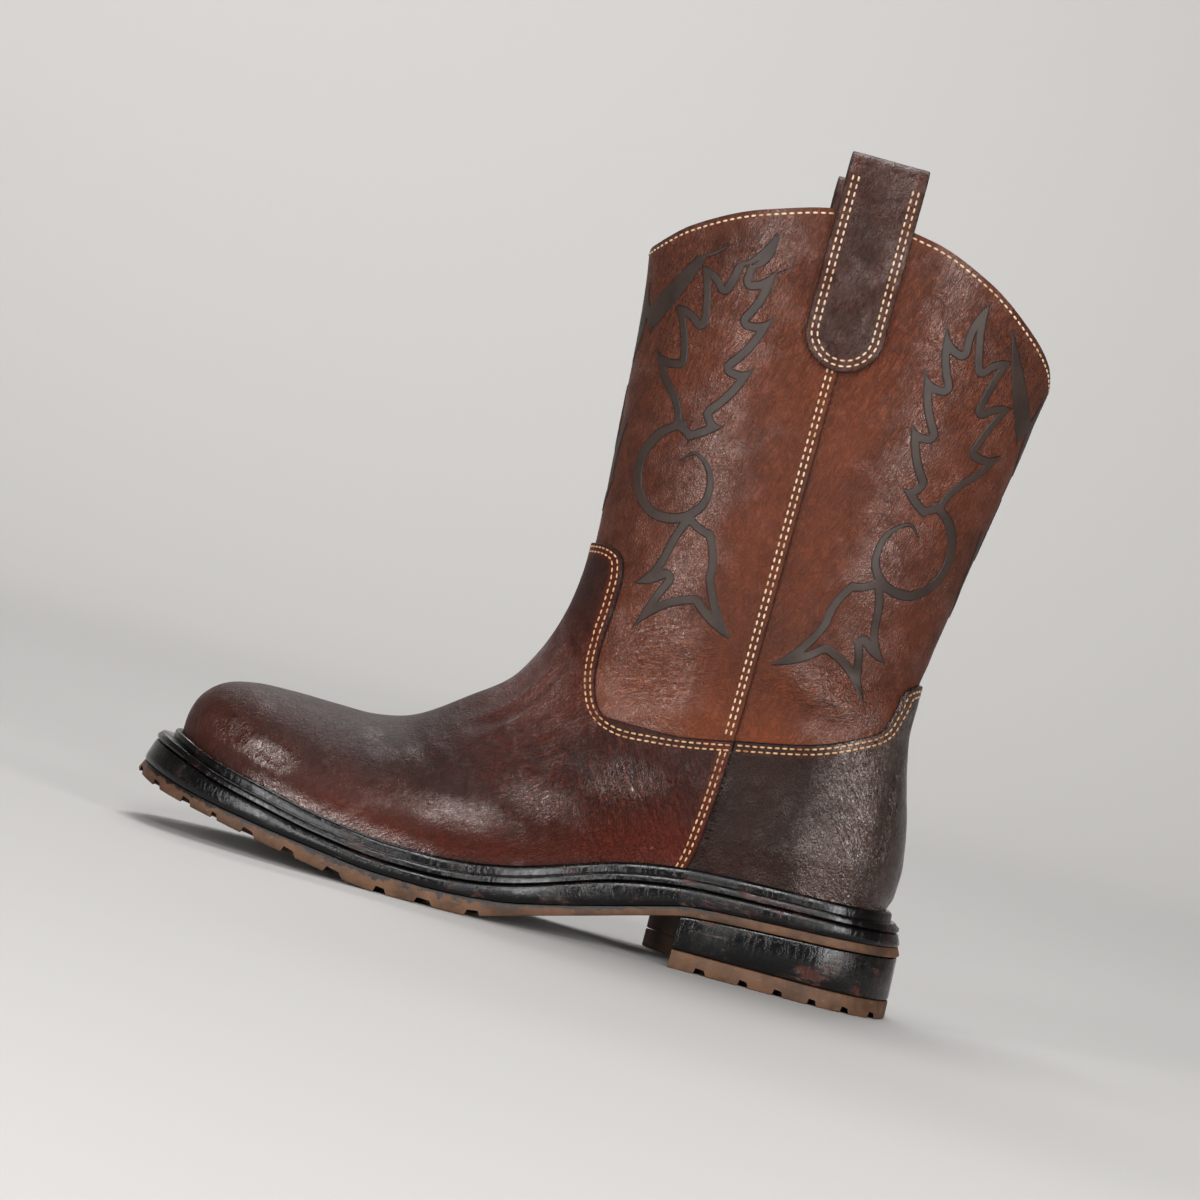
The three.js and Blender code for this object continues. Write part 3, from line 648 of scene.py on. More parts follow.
def outline_edges(faces):
    """The edges that only one triangle has, in that triangle's order."""
    edges = np.vstack([faces[:, [0, 1]], faces[:, [1, 2]], faces[:, [2, 0]]])
    key = np.sort(edges, 1)
    _, first, count = np.unique(key, axis=0, return_index=True, return_counts=True)
    return edges[first[count == 1]]


def skin_shell(name, faces, top, bottom, out):
    """A closed skin between a top and a bottom face cut into the same triangles."""
    corner = top[faces]
    normal = np.cross(corner[:, 1] - corner[:, 0], corner[:, 2] - corner[:, 0])
    if (normal * out[faces[:, 0]]).sum() < 0:
        faces = faces[:, ::-1]
    count = len(top)
    i, j = outline_edges(faces).T
    sides = triangles(j, i, i + count, j + count)
    made = make_mesh(name, np.vstack([top, bottom]), np.vstack([faces, faces[:, ::-1] + count, sides]))
    smooth(made, 50)
    return made


def shell(name, sheet, inner, outer, move=relief):
    """A closed skin over a sheet, between two offsets from the leather's form."""
    top, out = sheet.placed(outer, move)
    bottom, _ = sheet.placed(inner, move)
    return skin_shell(name, sheet.faces, top, bottom, out)


def both(values):
    return np.concatenate([values, values])


# ---------------------------------------------------------------- materials

class Wire:
    """A number flowing through a material, with arithmetic."""

    def __init__(self, look, socket):
        self.look, self.socket = look, socket

    def math(self, operation, *others, clamped=False):
        return self.look.node("ShaderNodeMath", {"operation": operation, "use_clamp": clamped}, self, *others)

    def __add__(self, other):
        return self.math("ADD", other)

    def __radd__(self, other):
        return self.math("ADD", other)

    def __sub__(self, other):
        return self.math("SUBTRACT", other)

    def __rsub__(self, other):
        return self.look.node("ShaderNodeMath", {"operation": "SUBTRACT"}, other, self)

    def __mul__(self, other):
        return self.math("MULTIPLY", other)

    def __rmul__(self, other):
        return self.math("MULTIPLY", other)

    def limit(self):
        """Kept between 0 and 1."""
        return self.math("ADD", 0.0, clamped=True)

    def size(self):
        return self.math("ABSOLUTE")


class Look:
    """A material while its nodes are laid out."""

    def __init__(self, name):
        self.material = bpy.data.materials.new(name)
        self.material.use_nodes = True
        self.tree = self.material.node_tree
        self.shader = self.tree.nodes["Principled BSDF"]

    def node(self, kind, settings, *inputs, output=0, numbered=None, **named):
        """One node, from its settings and what goes into its sockets: in order, by number or by name."""
        made = self.tree.nodes.new(kind)
        for key, value in settings.items():
            setattr(made, key, value)
        for key, value in [*enumerate(inputs), *(numbered or {}).items(), *named.items()]:
            self.feed(made.inputs[key], value)
        return Wire(self, made.outputs[output])

    def feed(self, socket, value):
        if isinstance(value, Wire):
            self.tree.links.new(value.socket, socket)
        else:
            socket.default_value = value

    def set(self, **named):
        for key, value in named.items():
            self.feed(self.shader.inputs[key.replace("_", " ")], value)

    def polish(self, factor, **named):
        """Mixes in a second, glossier surface where the factor is high."""
        dull = self.shader
        self.shader = self.tree.nodes.new("ShaderNodeBsdfPrincipled")
        self.set(**named)
        surfaces = Wire(self, dull.outputs[0]), Wire(self, self.shader.outputs[0])
        mixed = self.node("ShaderNodeMixShader", {}, factor, *surfaces)
        self.feed(self.tree.nodes["Material Output"].inputs[0], mixed)

    def place(self):
        """The object's own coordinates."""
        return self.node("ShaderNodeTexCoord", {}, output=3)

    def painted(self, name):
        """What a piece has painted under a name, corner by corner."""
        return self.node("ShaderNodeAttribute", {"attribute_name": name}, output=2)

    def scaled(self, place, scale, turn=(0, 0, 0)):
        return self.node("ShaderNodeMapping", {}, place, (0, 0, 0), turn, scale)

    def noise(self, place, scale, detail=3.0, roughness=0.5, distortion=0.0):
        values = {"Vector": place, "Scale": scale, "Detail": detail, "Roughness": roughness}
        settings = {"noise_dimensions": "3D"}
        return self.node("ShaderNodeTexNoise", settings, **values, Distortion=distortion)

    def cells(self, place, scale):
        """How far from the edge of its cell a place lies, in a pebbled grain."""
        settings = {"feature": "DISTANCE_TO_EDGE"}
        return self.node("ShaderNodeTexVoronoi", settings, Vector=place, Scale=scale, Randomness=1.0)

    def hairs(self, place, turn, scale, stretch, width=0.05):
        """Hair-like creases that run one way in the side view: 0 in a crease and 1 beside it."""
        turned = self.node("ShaderNodeMapping", {}, place, (0, 0, 0), (0, turn, 0), (1, 1, 1))
        flow = self.scaled(turned, (1, stretch, stretch))
        return self.ramp((self.noise(flow, scale, 3, 0.55, 0.9) - 0.5).size(), 0.0, width)

    def ramp(self, value, low, high, start=0.0, end=1.0):
        settings = {"interpolation_type": "SMOOTHSTEP", "clamp": True}
        return self.node("ShaderNodeMapRange", settings, value, low, high, start, end)

    def blend(self, factor, a, b):
        """A colour between two others."""
        settings = {"data_type": "RGBA"}
        return self.node("ShaderNodeMix", settings, factor, output=2, numbered={6: a, 7: b})

    def bump(self, height):
        """Relief from a height in millimetres."""
        return self.node("ShaderNodeBump", {}, Strength=1.0, Distance=MM, Height=height)


def colour(r, g, b):
    """A colour given as screen values from 0 to 255."""
    def light(v):
        return v / 12.92 if v < 0.04 else ((v + 0.055) / 1.055) ** 2.4

    return light(r / 255), light(g / 255), light(b / 255), 1.0


def leather(name, deep, body, worn, dark, rough, pebble, crinkle, turns=(35, -60)):
    """Waxed leather, dull where it is dry and glossy where it shines.

    Its hair-like creases run at the first turn in the side view, or at the second where it is painted steep.
    """
    look = Look(name)
    place = look.place()
    cloud = look.ramp(look.noise(place, 24, 4, 0.6), 0.36, 0.64)
    mottle = look.ramp(look.noise(place, 170, 5, 0.65), 0.36, 0.66)
    creases = [look.hairs(place, math.radians(turn), 115, 5.5, 0.13) for turn in turns]
    steep = look.painted("steep")
    line = creases[0] + (creases[1] - creases[0]) * steep.limit()
    zone = look.painted("creased").limit()
    wavy = look.noise(look.scaled(place, (1.5, 1.5, 0.9)), 250, 3, 0.55, 1.4)
    wrinkle = look.ramp((wavy - 0.5).size(), 0.0, 0.16)
    base = look.blend(cloud * 0.5 + mottle * 0.35, deep, body)
    base = look.blend((look.painted("burnish") * (0.75 + mottle * 0.25)).limit(), base, worn)
    # The painted dark: the leather's darker colour, and painted shade where pieces paint it at the welt and
    # beside the side seam.
    base = look.blend(look.painted("dark").limit(), base, dark)
    strands = [look.hairs(place, math.radians(turn), 210, 5, 0.05) for turn in turns]
    strand = 1 - (strands[0] + (strands[1] - strands[0]) * steep.limit())
    glow = look.painted("shine").limit()
    # Painted shade: darker in the troughs of the wrinkles.
    base = look.blend(((1 - wrinkle) * 0.3).limit(), base, dark)
    # Painted sheen: lighter hair lines, strongest where shine and creases are painted.
    painted_sheen = (strand * (0.03 + glow * 0.05 + zone * glow * 0.16)).limit()
    base = look.blend(painted_sheen, base, colour(150, 108, 90))
    base = look.blend((look.ramp(line, 0.35, 0.0) * zone * 0.7).limit(), base, worn)
    cell = look.ramp(look.cells(look.scaled(place, (1, 1, 1.25)), 700), 0.0, 0.35)
    fibre = look.noise(place, 800, 4, 0.6)
    soft = look.noise(place, 70, 3, 0.5)
    height = cell * pebble + fibre * 0.08 + line * (zone * crinkle * 2) + soft * 1.1
    height = height + wrinkle * ((0.4 + zone) * crinkle * 1.3)
    normal = look.bump(height)
    shine = look.ramp(look.painted("shine") + (soft - 0.5) * 0.9 + (mottle - 0.5) * 0.2, 0.1, 1.0)
    look.set(Base_Color=base, Roughness=0.52, Normal=normal, Specular_IOR_Level=0.16)
    gloss = rough + (0.5 - fibre) * 0.15
    look.polish(shine, Base_Color=base, Roughness=gloss.limit(), Normal=normal, Specular_IOR_Level=0.8)
    look.set(Specular_Tint=(1, 0.88, 0.84, 1))
    return look.material


def plain(name, tone, second, rough, tooth=0.12, scale=500):
    """A dull material with a fine tooth and a cloudy second tone."""
    look = Look(name)
    place = look.place()
    cloud = look.ramp(look.noise(place, 60, 5, 0.6), 0.4, 0.65)
    base = look.blend(cloud, tone, second)
    base = look.blend(look.painted("dark").limit(), base, colour(14, 10, 9))
    height = look.noise(place, scale, 4, 0.6) * tooth
    look.set(Base_Color=base, Roughness=rough, Normal=look.bump(height), Specular_IOR_Level=0.3)
    return look.material


def black_rubber():
    """Black edge dressing over rubber and leather: glossy, cracked, and rubbed brown in streaks."""
    look = Look("black_rubber")
    place = look.place()
    along = look.scaled(place, (0.22, 1, 1))
    streak = look.ramp(look.noise(along, 260, 5, 0.7), 0.52, 0.66)
    patch = look.ramp(look.noise(place, 48, 4, 0.6), 0.46, 0.64)
    scored = look.noise(look.scaled(place, (0.12, 1, 1)), 330, 2, 0.5)
    scratch = 1 - look.ramp((scored - 0.5).size(), 0.0, 0.012)
    upright = look.scaled(place, (1, 1, 0.3))
    crackle = look.ramp((look.noise(upright, 420, 4, 0.6, 0.8) - 0.5).size(), 0.0, 0.1)
    base = look.blend(streak * patch * 0.8, colour(8, 7, 7), colour(72, 34, 26))
    base = look.blend(scratch * patch * 0.5, base, colour(96, 78, 70))
    base = look.blend(look.painted("dark").limit(), base, colour(5, 4, 4))
    fine = look.noise(place, 420, 4, 0.6)
    height = crackle * 0.03 + fine * 0.06 + look.noise(place, 60, 3, 0.5) * 0.3 - streak * patch * 0.08
    rough = 0.14 + patch * 0.18 + fine * 0.1
    look.set(Base_Color=base, Roughness=rough.limit(), Normal=look.bump(height))
    look.set(Specular_IOR_Level=0.3)
    return look.material


def gum_rubber():
    """Brown gum rubber, dusty and scuffed, with a ragged rim of black dressing where it is painted dark."""
    look = Look("gum_rubber")
    place = look.place()
    cloud = look.ramp(look.noise(place, 55, 5, 0.65), 0.38, 0.66)
    scuff = look.ramp(look.noise(look.scaled(place, (0.35, 1, 1)), 300, 5, 0.7), 0.55, 0.72)
    ragged = look.noise(place, 210, 4, 0.7)
    rim = look.ramp(look.painted("dark") + (ragged - 0.5) * 1.1, 0.42, 0.58)
    base = look.blend(cloud, colour(88, 60, 40), colour(58, 39, 27))
    base = look.blend(scuff * 0.5, base, colour(120, 90, 64))
    base = look.blend(rim, base, colour(17, 13, 12))
    height = look.noise(place, 380, 5, 0.65) * 0.22 - scuff * 0.05
    look.set(Base_Color=base, Roughness=(0.62 - rim * 0.22).limit(), Normal=look.bump(height))
    look.set(Specular_IOR_Level=0.3)
    return look.material


def thread(name, tone, second):
    """Waxed thread: two tones, with a fine twist."""
    look = Look(name)
    place = look.place()
    twist = look.ramp(look.noise(place, 1300, 3, 0.6), 0.35, 0.65)
    soiled = look.ramp(look.noise(place, 110, 4, 0.6), 0.42, 0.7)
    base = look.blend(twist * 0.4 + soiled * 0.6, tone, second)
    look.set(Base_Color=base, Roughness=0.6, Normal=look.bump(twist * 0.12), Specular_IOR_Level=0.25)
    return look.material


UMBER = colour(20, 9, 7)
SHAFT_LEATHER = leather(
    "shaft_leather", deep=colour(60, 27, 16), body=colour(92, 44, 25), worn=colour(112, 54, 27), dark=UMBER,
    rough=0.25, pebble=0.03, crinkle=0.17, turns=(72, 18),
)
VAMP_LEATHER = leather(
    "vamp_leather", deep=colour(32, 12, 8), body=colour(52, 21, 13), worn=colour(76, 24, 9),
    dark=colour(22, 11, 10), rough=0.19, pebble=0.015, crinkle=0.16,
)
COUNTER_LEATHER = leather(
    "counter_leather", deep=colour(15, 7, 5), body=colour(24, 11, 8), worn=colour(46, 21, 13),
    dark=colour(10, 6, 6), rough=0.15, pebble=0.06, crinkle=0.08, turns=(60, -50),
)
STRAP_LEATHER = leather(
    "strap_leather", deep=colour(32, 13, 8), body=colour(50, 22, 14), worn=colour(78, 38, 24), dark=UMBER,
    rough=0.25, pebble=0.04, crinkle=0.16, turns=(75, 10),
)
LINING_LEATHER = plain("lining_leather", colour(132, 98, 66), colour(104, 74, 48), rough=0.8)
INSOLE_LEATHER = plain("insole_leather", colour(122, 86, 56), colour(94, 62, 38), rough=0.75)
INLAY_LEATHER = plain(
    "inlay_leather", colour(50, 37, 31), colour(38, 27, 22), rough=0.5, tooth=0.08, scale=700,
)
BLACK_RUBBER = black_rubber()
GUM_RUBBER = gum_rubber()
CREAM_THREAD = thread("cream_thread", colour(212, 190, 162), colour(168, 130, 92))
TAN_THREAD = thread("tan_thread", colour(196, 160, 118), colour(136, 84, 48))


# ---------------------------------------------------------------- the leather pieces

FOOT_ROWS = np.unique(np.concatenate([steps(0, 110, 1.3), steps(110, 215, 1.1)]))
SHAFT_ROWS = steps(60, FRONT_LENGTH, 1.5)
AROUND = spread(int(190 * FINE))


def edge_profile(depth, thickness, round_over=0.8):
    """The height of a cut edge, rounded over where it ends."""
    t = clamp(depth / round_over)
    return thickness * (0.62 + 0.38 * np.sqrt(1 - (1 - t) ** 2))


def wear_and_painted_light(made, **zones):
    """Paints how burnished, dark or creased the leather is, on its outer and its inner face, with painted
    shade in its dark and painted sheen in its shine.
    """
    for name in ("burnish", "dark", "creased", "steep", "shine"):
        paint(made, name, both(clamp(zones[name])))


def sewn_edge(depth):
    """The orange, rubbed strip that the stitches run in, along the edge of an overlay."""
    return ease((depth - 0.4) / 0.8) * ease((5.6 - depth) / 1.2)


def lap_rise(x, z):
    """How far the vamp stands up where it laps over the counter at the side seam."""
    return ease((9 - ahead_of_seam(x, z)) / 6)


def vamp():
    """The vamp, painted dark over its crown, red at the waist and rubbed bright along the sole and instep,
    with painted shade where it meets the welt and a painted sheen band low along its side.
    """
    sheet = level_sheet(FOOT_ROWS, AROUND).trimmed(in_vamp)
    x, z = sheet.x, sheet.z
    depth = in_vamp(x, z)
    lap = lap_rise(x, z)
    made = shell("vamp_leather", sheet, GAP + lap * 0.95, GAP + edge_profile(depth, OVERLAY) + lap)
    above = z - leather_foot(x)
    sole_glow = bell(above, 9, 9) * ease((x - 40) / 50)
    red_patch = bell(x, 202, 20) * bell(z, 47, 15)
    instep_glow = 0.9 * bell(x, 150, 20) * bell(z, 90, 24)
    toe_glow = 0.35 * bell(x, 30, 16) * bell(above, 12, 7)
    crown = ease((above - 20) / 22) * ease((150 - x) / 50)
    violet = 0.7 * bell(x, 172, 34) * bell(z, 66, 13)
    # Painted shade along the foot of the leather, where it meets the welt.
    welt_shade = 0.85 * bell(above, 0, 3.5)
    edge = bell(depth, 0, 0.5)
    # A band of gloss low along the side, where the leather reflects the floor, also painted with lighter
    # sheen lines.
    sheen_band = 1.1 * bell(above, 5, 3.5) * ease((x - 40) / 12) * ease((130 - x) / 12)
    # Where the vamp is glossier; the painted shine also lays lighter sheen lines there.
    gloss_and_sheen = [
        0.14 + 0 * x,
        0.9 * bell(x, 185, 18) * bell(z, 64, 9),
        0.9 * bell(x, 157, 16) * bell(z, 50, 8),
        0.9 * bell(x, 125, 30) * bell(z, 36, 7),
        bell(x, 50, 13) * bell(z, 39, 6),
        bell(x, 34, 10) * bell(z, 44, 5),
        0.7 * bell(x, 148, 20) * bell(z, 88, 26),
        0.1 * crown,
        sheen_band,
    ]
    wear_and_painted_light(
        made,
        burnish=0.75 * sole_glow + 0.9 * red_patch + instep_glow + toe_glow + 0.95 * sewn_edge(depth),
        dark=np.maximum.reduce([0.62 * crown, violet, welt_shade, edge]) * (1 - 0.9 * sewn_edge(depth)),
        creased=bell(x, 186, 34) * bell(z, 56, 26) + 1.3 * bell(x, 146, 22) * bell(z, 86, 32) + 0.12,
        steep=ease((x - 158) / 22) * ease((92 - z) / 14),
        shine=np.maximum.reduce(gloss_and_sheen) * (1 - 0.8 * red_patch),
    )
    return dress(made, VAMP_LEATHER, "vamp_leather", "vamp")


COUNTER_LAP = 8.0  # how far the counter runs on under the vamp at the side seam


def counter_region(x, z):
    inside = in_counter(x, z)
    lap = COUNTER_LAP - ahead_of_seam(x, z)
    under_vamp = np.minimum(JUNCTION[1] - z, np.where(z < UNDER_TOPS, lap, np.minimum(lap, inside)))
    return np.where(x < JUNCTION[0], under_vamp, np.minimum(inside, 60))


def heel_counter():
    """The heel counter, near black at the back, with a glossy upright streak painted with lighter sheen
    lines.
    """
    sheet = level_sheet(FOOT_ROWS, AROUND).trimmed(counter_region)
    x, z = sheet.x, sheet.z
    depth = counter_region(x, z)
    made = shell("heel_counter_leather", sheet, GAP - 0.1, GAP + edge_profile(depth, OVERLAY))
    above = z - leather_foot(x)
    top_edge = np.where(z > UNDER_TOPS, depth, 9)
    # Painted shade along the foot of the leather where it meets the welt, beside the darker back and the dark
    # cut edge.
    darkened = [0.75 * ease((x - 246) / 30), 0.85 * bell(above, 0, 3.5), bell(depth, 0, 0.5)]
    wear_and_painted_light(
        made,
        burnish=0.35 * bell(x, 236, 14) + 0.95 * sewn_edge(top_edge) + 0.3 * bell(above, 8, 8),
        dark=np.maximum.reduce(darkened) * (1 - 0.9 * sewn_edge(top_edge)),
        creased=0.35 + 0.6 * bell(x, 274, 18),
        steep=ease((x - 240) / 30),
        # Painted shine: glossier, and painted with lighter sheen lines, in the upright streak and at the very
        # back.
        shine=0.15 + bell(x, 272, 14) + 0.6 * bell(x, 294, 7),
    )
    return dress(made, COUNTER_LEATHER, "counter_leather", "heel_counter")


def below_collar(x, z):
    return COLLAR_LINE(x) - z


SKIVE = 1.2  # thickness of a shaft panel, half the wall
PANEL_FOOT = 60  # height where the shaft panels end, well under the overlays
UNDERLAP = 12  # how far a shaft panel runs on under an overlay


def shaft_panel(name, field, seam_lap, nodes=()):
    """A panel of the shaft, where a field is positive, raised by its lap over the other one at the seam."""
    sheet = level_sheet(SHAFT_ROWS, AROUND).trimmed(field)
    x, z = sheet.x, sheet.z
    collar = below_collar(x, z)
    depth = np.minimum(field(x, z), collar + 0.02)
    lap = seam_lap(x, z)
    made = shell(name, sheet, lap - SKIVE, edge_profile(depth, SKIVE) - SKIVE + lap)
    at_seam = np.abs(ahead_of_seam(x, z))
    low_front = bell(x, 184, 16) * bell(z, 110, 17)
    low_back = bell(x, 258, 20) * bell(z, 116, 12)
    back_fold = bell(x, 254, 24) * bell(z - (124 - (x - 233) * 0.36), 0, 6)
    upright_glow = 0.35 * bell(x, 186, 12) + 0.35 * bell(x, 258, 10) - 0.3 * bell(x, 225, 18)
    beside_seam = 0.35 * bell(x, 212, 9) + 0.3 * bell(x, 234, 10)
    darkened = [
        0.9 * bell(depth, 0, 0.5),
        0.3 * bell(x, 222, 30) * bell(z, 130, 30),
        0.3 * bell(collar, 12, 20),
        # Painted shade on the panel under the side seam, beside the edge that laps over it.
        0.45 * bell(at_seam, 0, 1.2) * (lap < 0.01),
    ]
    wear_and_painted_light(
        made,
        burnish=0.5 * bell(z, 94, 12) + 0.3 * bell(collar, 0, 5) + beside_seam,
        dark=np.maximum.reduce(darkened),
        creased=0.25 + 0.9 * low_front + 0.6 * low_back + 0.3 * bell(z, 250, 40),
        steep=low_front * 1.4 + bell(z, 118, 14),
        # Painted shine: glossier, and painted with lighter sheen lines, in the dent low in front, along the
        # fold behind and in two upright bands.
        shine=0.25 + low_front + 0.8 * back_fold + upright_glow,
    )
    return dress(made, SHAFT_LEATHER, "shaft_leather", *nodes)


def shaft_panels():
    def front(x, z):
        return np.minimum.reduce([ahead_of_seam(x, z), UNDERLAP - in_vamp(x, z), z - PANEL_FOOT])

    def back(x, z):
        return np.minimum.reduce([9 - ahead_of_seam(x, z), UNDERLAP - in_counter(x, z), z - PANEL_FOOT])

    shaft_panel("shaft_front_leather", front, lambda x, z: ease((15 - ahead_of_seam(x, z)) / 11), ["upper"])
    shaft_panel("shaft_back_leather", back, lambda x, z: 0 * x)


def lining():
    rows = np.concatenate([steps(0, 60, 4), steps(60, FRONT_LENGTH, 3)[1:]])
    sheet = level_sheet(rows, spread(int(90 * FINE)))
    made = shell("lining", sheet, -WALL, -SKIVE - 0.1)
    return dress(made, LINING_LEATHER, "shaft_leather")


# ---------------------------------------------------------------- the flame inlays of the shaft

INLAY_LINE = 3.5
INLAY_RISE = 0.3  # how far the inlay stands out of the shaft


def bowed(corners, pieces=6):
    """A closed outline of corners, whose sides bow out to their left by each corner's third number."""
    path = []
    for (ax, az, bow), (bx, bz, _) in zip(corners, corners[1:] + corners[:1]):
        t = np.arange(pieces) / pieces
        lift = 4 * bow * t * (1 - t) / math.hypot(bx - ax, bz - az)
        path.append(np.stack([mix(ax, bx, t) - lift * (bz - az), mix(az, bz, t) + lift * (bx - ax)], 1))
    return np.vstack(path)


def outlined(corners, line=INLAY_LINE):
    """A line of one width inside a closed outline, which fills its sharp tips."""
    inside = inside_path(bowed(corners))

    def depth(u, z):
        deep = inside(u, z)
        return np.minimum(deep, line - deep)

    return depth


def brushed(points, widths):
    """A curved line that swells and tapers."""
    p = smooth_path(points, 8)
    run = run_along(p)
    at = np.linspace(0, run[-1], len(widths))

    def depth(u, z):
        best = np.full(np.shape(u), -1e9)
        for a, b, start, end in zip(p, p[1:], run, run[1:]):
            t, off = beside(u, z, a, b)
            half = np.interp(mix(start, end, t), at, widths) / 2
            best = np.maximum(best, half - off)
        return best

    return depth


# The motif, as it lies flat: distances round the shaft from a fold, and heights.
MOTIF = [
    outlined([
        (39, 200, -1.5), (34, 213, 1.5), (23, 229, -1.5), (36, 227, -1.0), (29, 247, 1.8), (42, 243, -0.8),
        (39, 264, 1.8), (50, 258, -1.0), (58, 283, 2.5), (61, 262, -2.2), (71, 272, 2.2), (62, 247, -1.8),
        (72, 252, 2.0), (59, 228, -1.6), (68, 231, 1.8), (54, 209, -1.4), (60, 206, 0.8), (46, 197, -1.0),
    ]),
    outlined([
        (52, 171, -1.0), (44, 155, 1.6), (34, 139, -1.4), (47, 144, -1.0), (39, 121, 2.6), (60, 137, -1.6),
        (79, 127, 1.8), (66, 148, -1.6), (62, 166, 1.2),
    ]),
    outlined([
        (0, 163, -1.2), (9, 176, 1.4), (13, 199, -1.6), (5, 190, -0.8), (0, 214, -0.8), (-5, 190, -1.6),
        (-13, 199, 1.4), (-9, 176, -1.2),
    ], 3.0),
    outlined([
        (3, 222, -1.6), (12, 240, 1.0), (16, 234, -2.6), (45, 276, 0.8), (13, 245, 0.8), (9, 256, -1.0),
    ], 9),
    brushed([
        (43, 203), (33, 197), (26, 186), (27, 175), (36, 167), (49, 168), (57, 176), (57, 187), (50, 193),
        (44, 189),
    ], [3.0, 4.6, 4.6, 4.2, 3.6, 2.6, 0.6]),
]
UP_FRONT = FRONT[FRONT[:, 1] > 100]
GIRTH_HEIGHTS = np.linspace(105, 295, 96)
GIRTH_STEPS = np.linspace(0, 1, 121)


def girths():
    """Distances round the shaft from its front fold, by height and by share of the way to the back one."""
    z = GIRTH_HEIGHTS[:, None]
    front = np.interp(z, UP_FRONT[:, 1], UP_FRONT[:, 0])
    x = mix(front, BACK_OUTLINE(z), (1 - np.cos(np.pi * GIRTH_STEPS)) / 2)
    width = leather_width(x, z, LATERAL)
    step = np.hypot(np.diff(x, axis=1), np.diff(width, axis=1))
    return np.concatenate([0 * z, np.cumsum(step, axis=1)], axis=1)


GIRTHS = girths()


def round_shaft(x, z):
    """How far round the shaft points of the side view lie from its front fold and from its back one."""
    front = np.interp(z, UP_FRONT[:, 1], UP_FRONT[:, 0])
    share = np.arccos(1 - 2 * clamp((x - front) / (BACK_OUTLINE(z) - front))) / np.pi
    row = clamp((z - GIRTH_HEIGHTS[0]) / np.ptp(GIRTH_HEIGHTS)) * (len(GIRTH_HEIGHTS) - 1)
    column = share * (len(GIRTH_STEPS) - 1)
    i = np.minimum(row.astype(int), len(GIRTH_HEIGHTS) - 2)
    j = np.minimum(column.astype(int), len(GIRTH_STEPS) - 2)
    low = mix(GIRTHS[i, j], GIRTHS[i, j + 1], column - j)
    high = mix(GIRTHS[i + 1, j], GIRTHS[i + 1, j + 1], column - j)
    total = mix(GIRTHS[i, -1], GIRTHS[i + 1, -1], row - i)
    reached = mix(low, high, row - i)
    return reached, total - reached


def inlay(name, fold, drop):
    """The flame motif let into the shaft across one of its folds, a little lower by a drop."""
    rows = steps(150, FRONT_LENGTH, 0.8)
    turn = np.linspace(0, 0.47, int(118 * FINE))
    share = (1 - np.cos(np.pi * turn)) / 2

    def field(x, z):
        u = round_shaft(x, z)[0 if fold == "front" else 1]
        return np.maximum.reduce([shape(u, z + drop) for shape in MOTIF])

    if fold == "back":
        share = 1 - share[::-1]
    sheet = level_sheet(rows, share, fold).trimmed(field, (0.3, 0.75))
    depth = field(sheet.x, sheet.z)
    made = shell(name, sheet, -0.5, INLAY_RISE * (0.2 + 0.8 * ease(depth / 0.3)))
    paint(made, "dark", both(0.85 * bell(depth, 0, 0.4)))
    return dress(made, INLAY_LEATHER, "shaft_leather")


# ---------------------------------------------------------------- the sole

RING_SHARES = spread(int(150 * FINE))


def raised(height, by):
    return lambda x: height(x) + by


def level(z):
    return lambda x: z + 0 * x


def sole_row(ring, height):
    """A closed row of points round the sole: out along the outer side and back along the inner one."""
    n = len(RING_SHARES) - 1
    x, outer = ring_line(ring, LATERAL, RING_SHARES)
    back = slice(n - 1, 0, -1)
    _, inner = ring_line(ring, MEDIAL, RING_SHARES)
    across = np.concatenate([outer, inner[back]])
    along = np.concatenate([x, x[back]])
    return np.stack([along, across, height(along)], 1)


def foot_line():
    """The foot of the leather all round, and the level directions it faces."""
    n = len(RING_SHARES) - 1
    share = np.concatenate([RING_SHARES, RING_SHARES[n - 1:0:-1]])
    side = np.concatenate([[RIDGE], np.full(n - 1, LATERAL), [RIDGE], np.full(n - 1, MEDIAL)])
    x, z = level_lines(np.zeros(len(share)), share)
    at, out = Sheet(x, z, side, None).placed(0, None)
    out[:, 2] = 0
    out[0], out[n] = (-1, 0, 0), (1, 0, 0)
    return at, out / np.linalg.norm(out, axis=1)[:, None]


FOOT_AT, FOOT_OUT = foot_line()


def foot_row(distance, height):
    """A closed row of points round the foot of the leather, out from it by a distance."""
    at = FOOT_AT + FOOT_OUT * distance
    at[:, 2] = height(at[:, 0])
    return at


def band(low, high, count):
    """The triangles between two closed rows, from the numbers of their first points."""
    i = np.arange(count)
    j = (i + 1) % count
    return triangles(low + i, low + j, high + j, high + i)


def outward(points, faces):
    """The triangles turned so that a closed form faces outward."""
    a, b, c = (points[faces[:, k]] for k in range(3))
    return faces if (np.cross(a, b) * c).sum() > 0 else faces[:, ::-1]


def hoop(name, rows):
    """A ring lofted through closed rows and back to the first."""
    count = len(rows[0])
    points = np.vstack(rows)
    faces = np.vstack([band(k * count, ((k + 1) % len(rows)) * count, count) for k in range(len(rows))])
    made = make_mesh(name, points, outward(points, faces))
    smooth(made, 42)
    return made


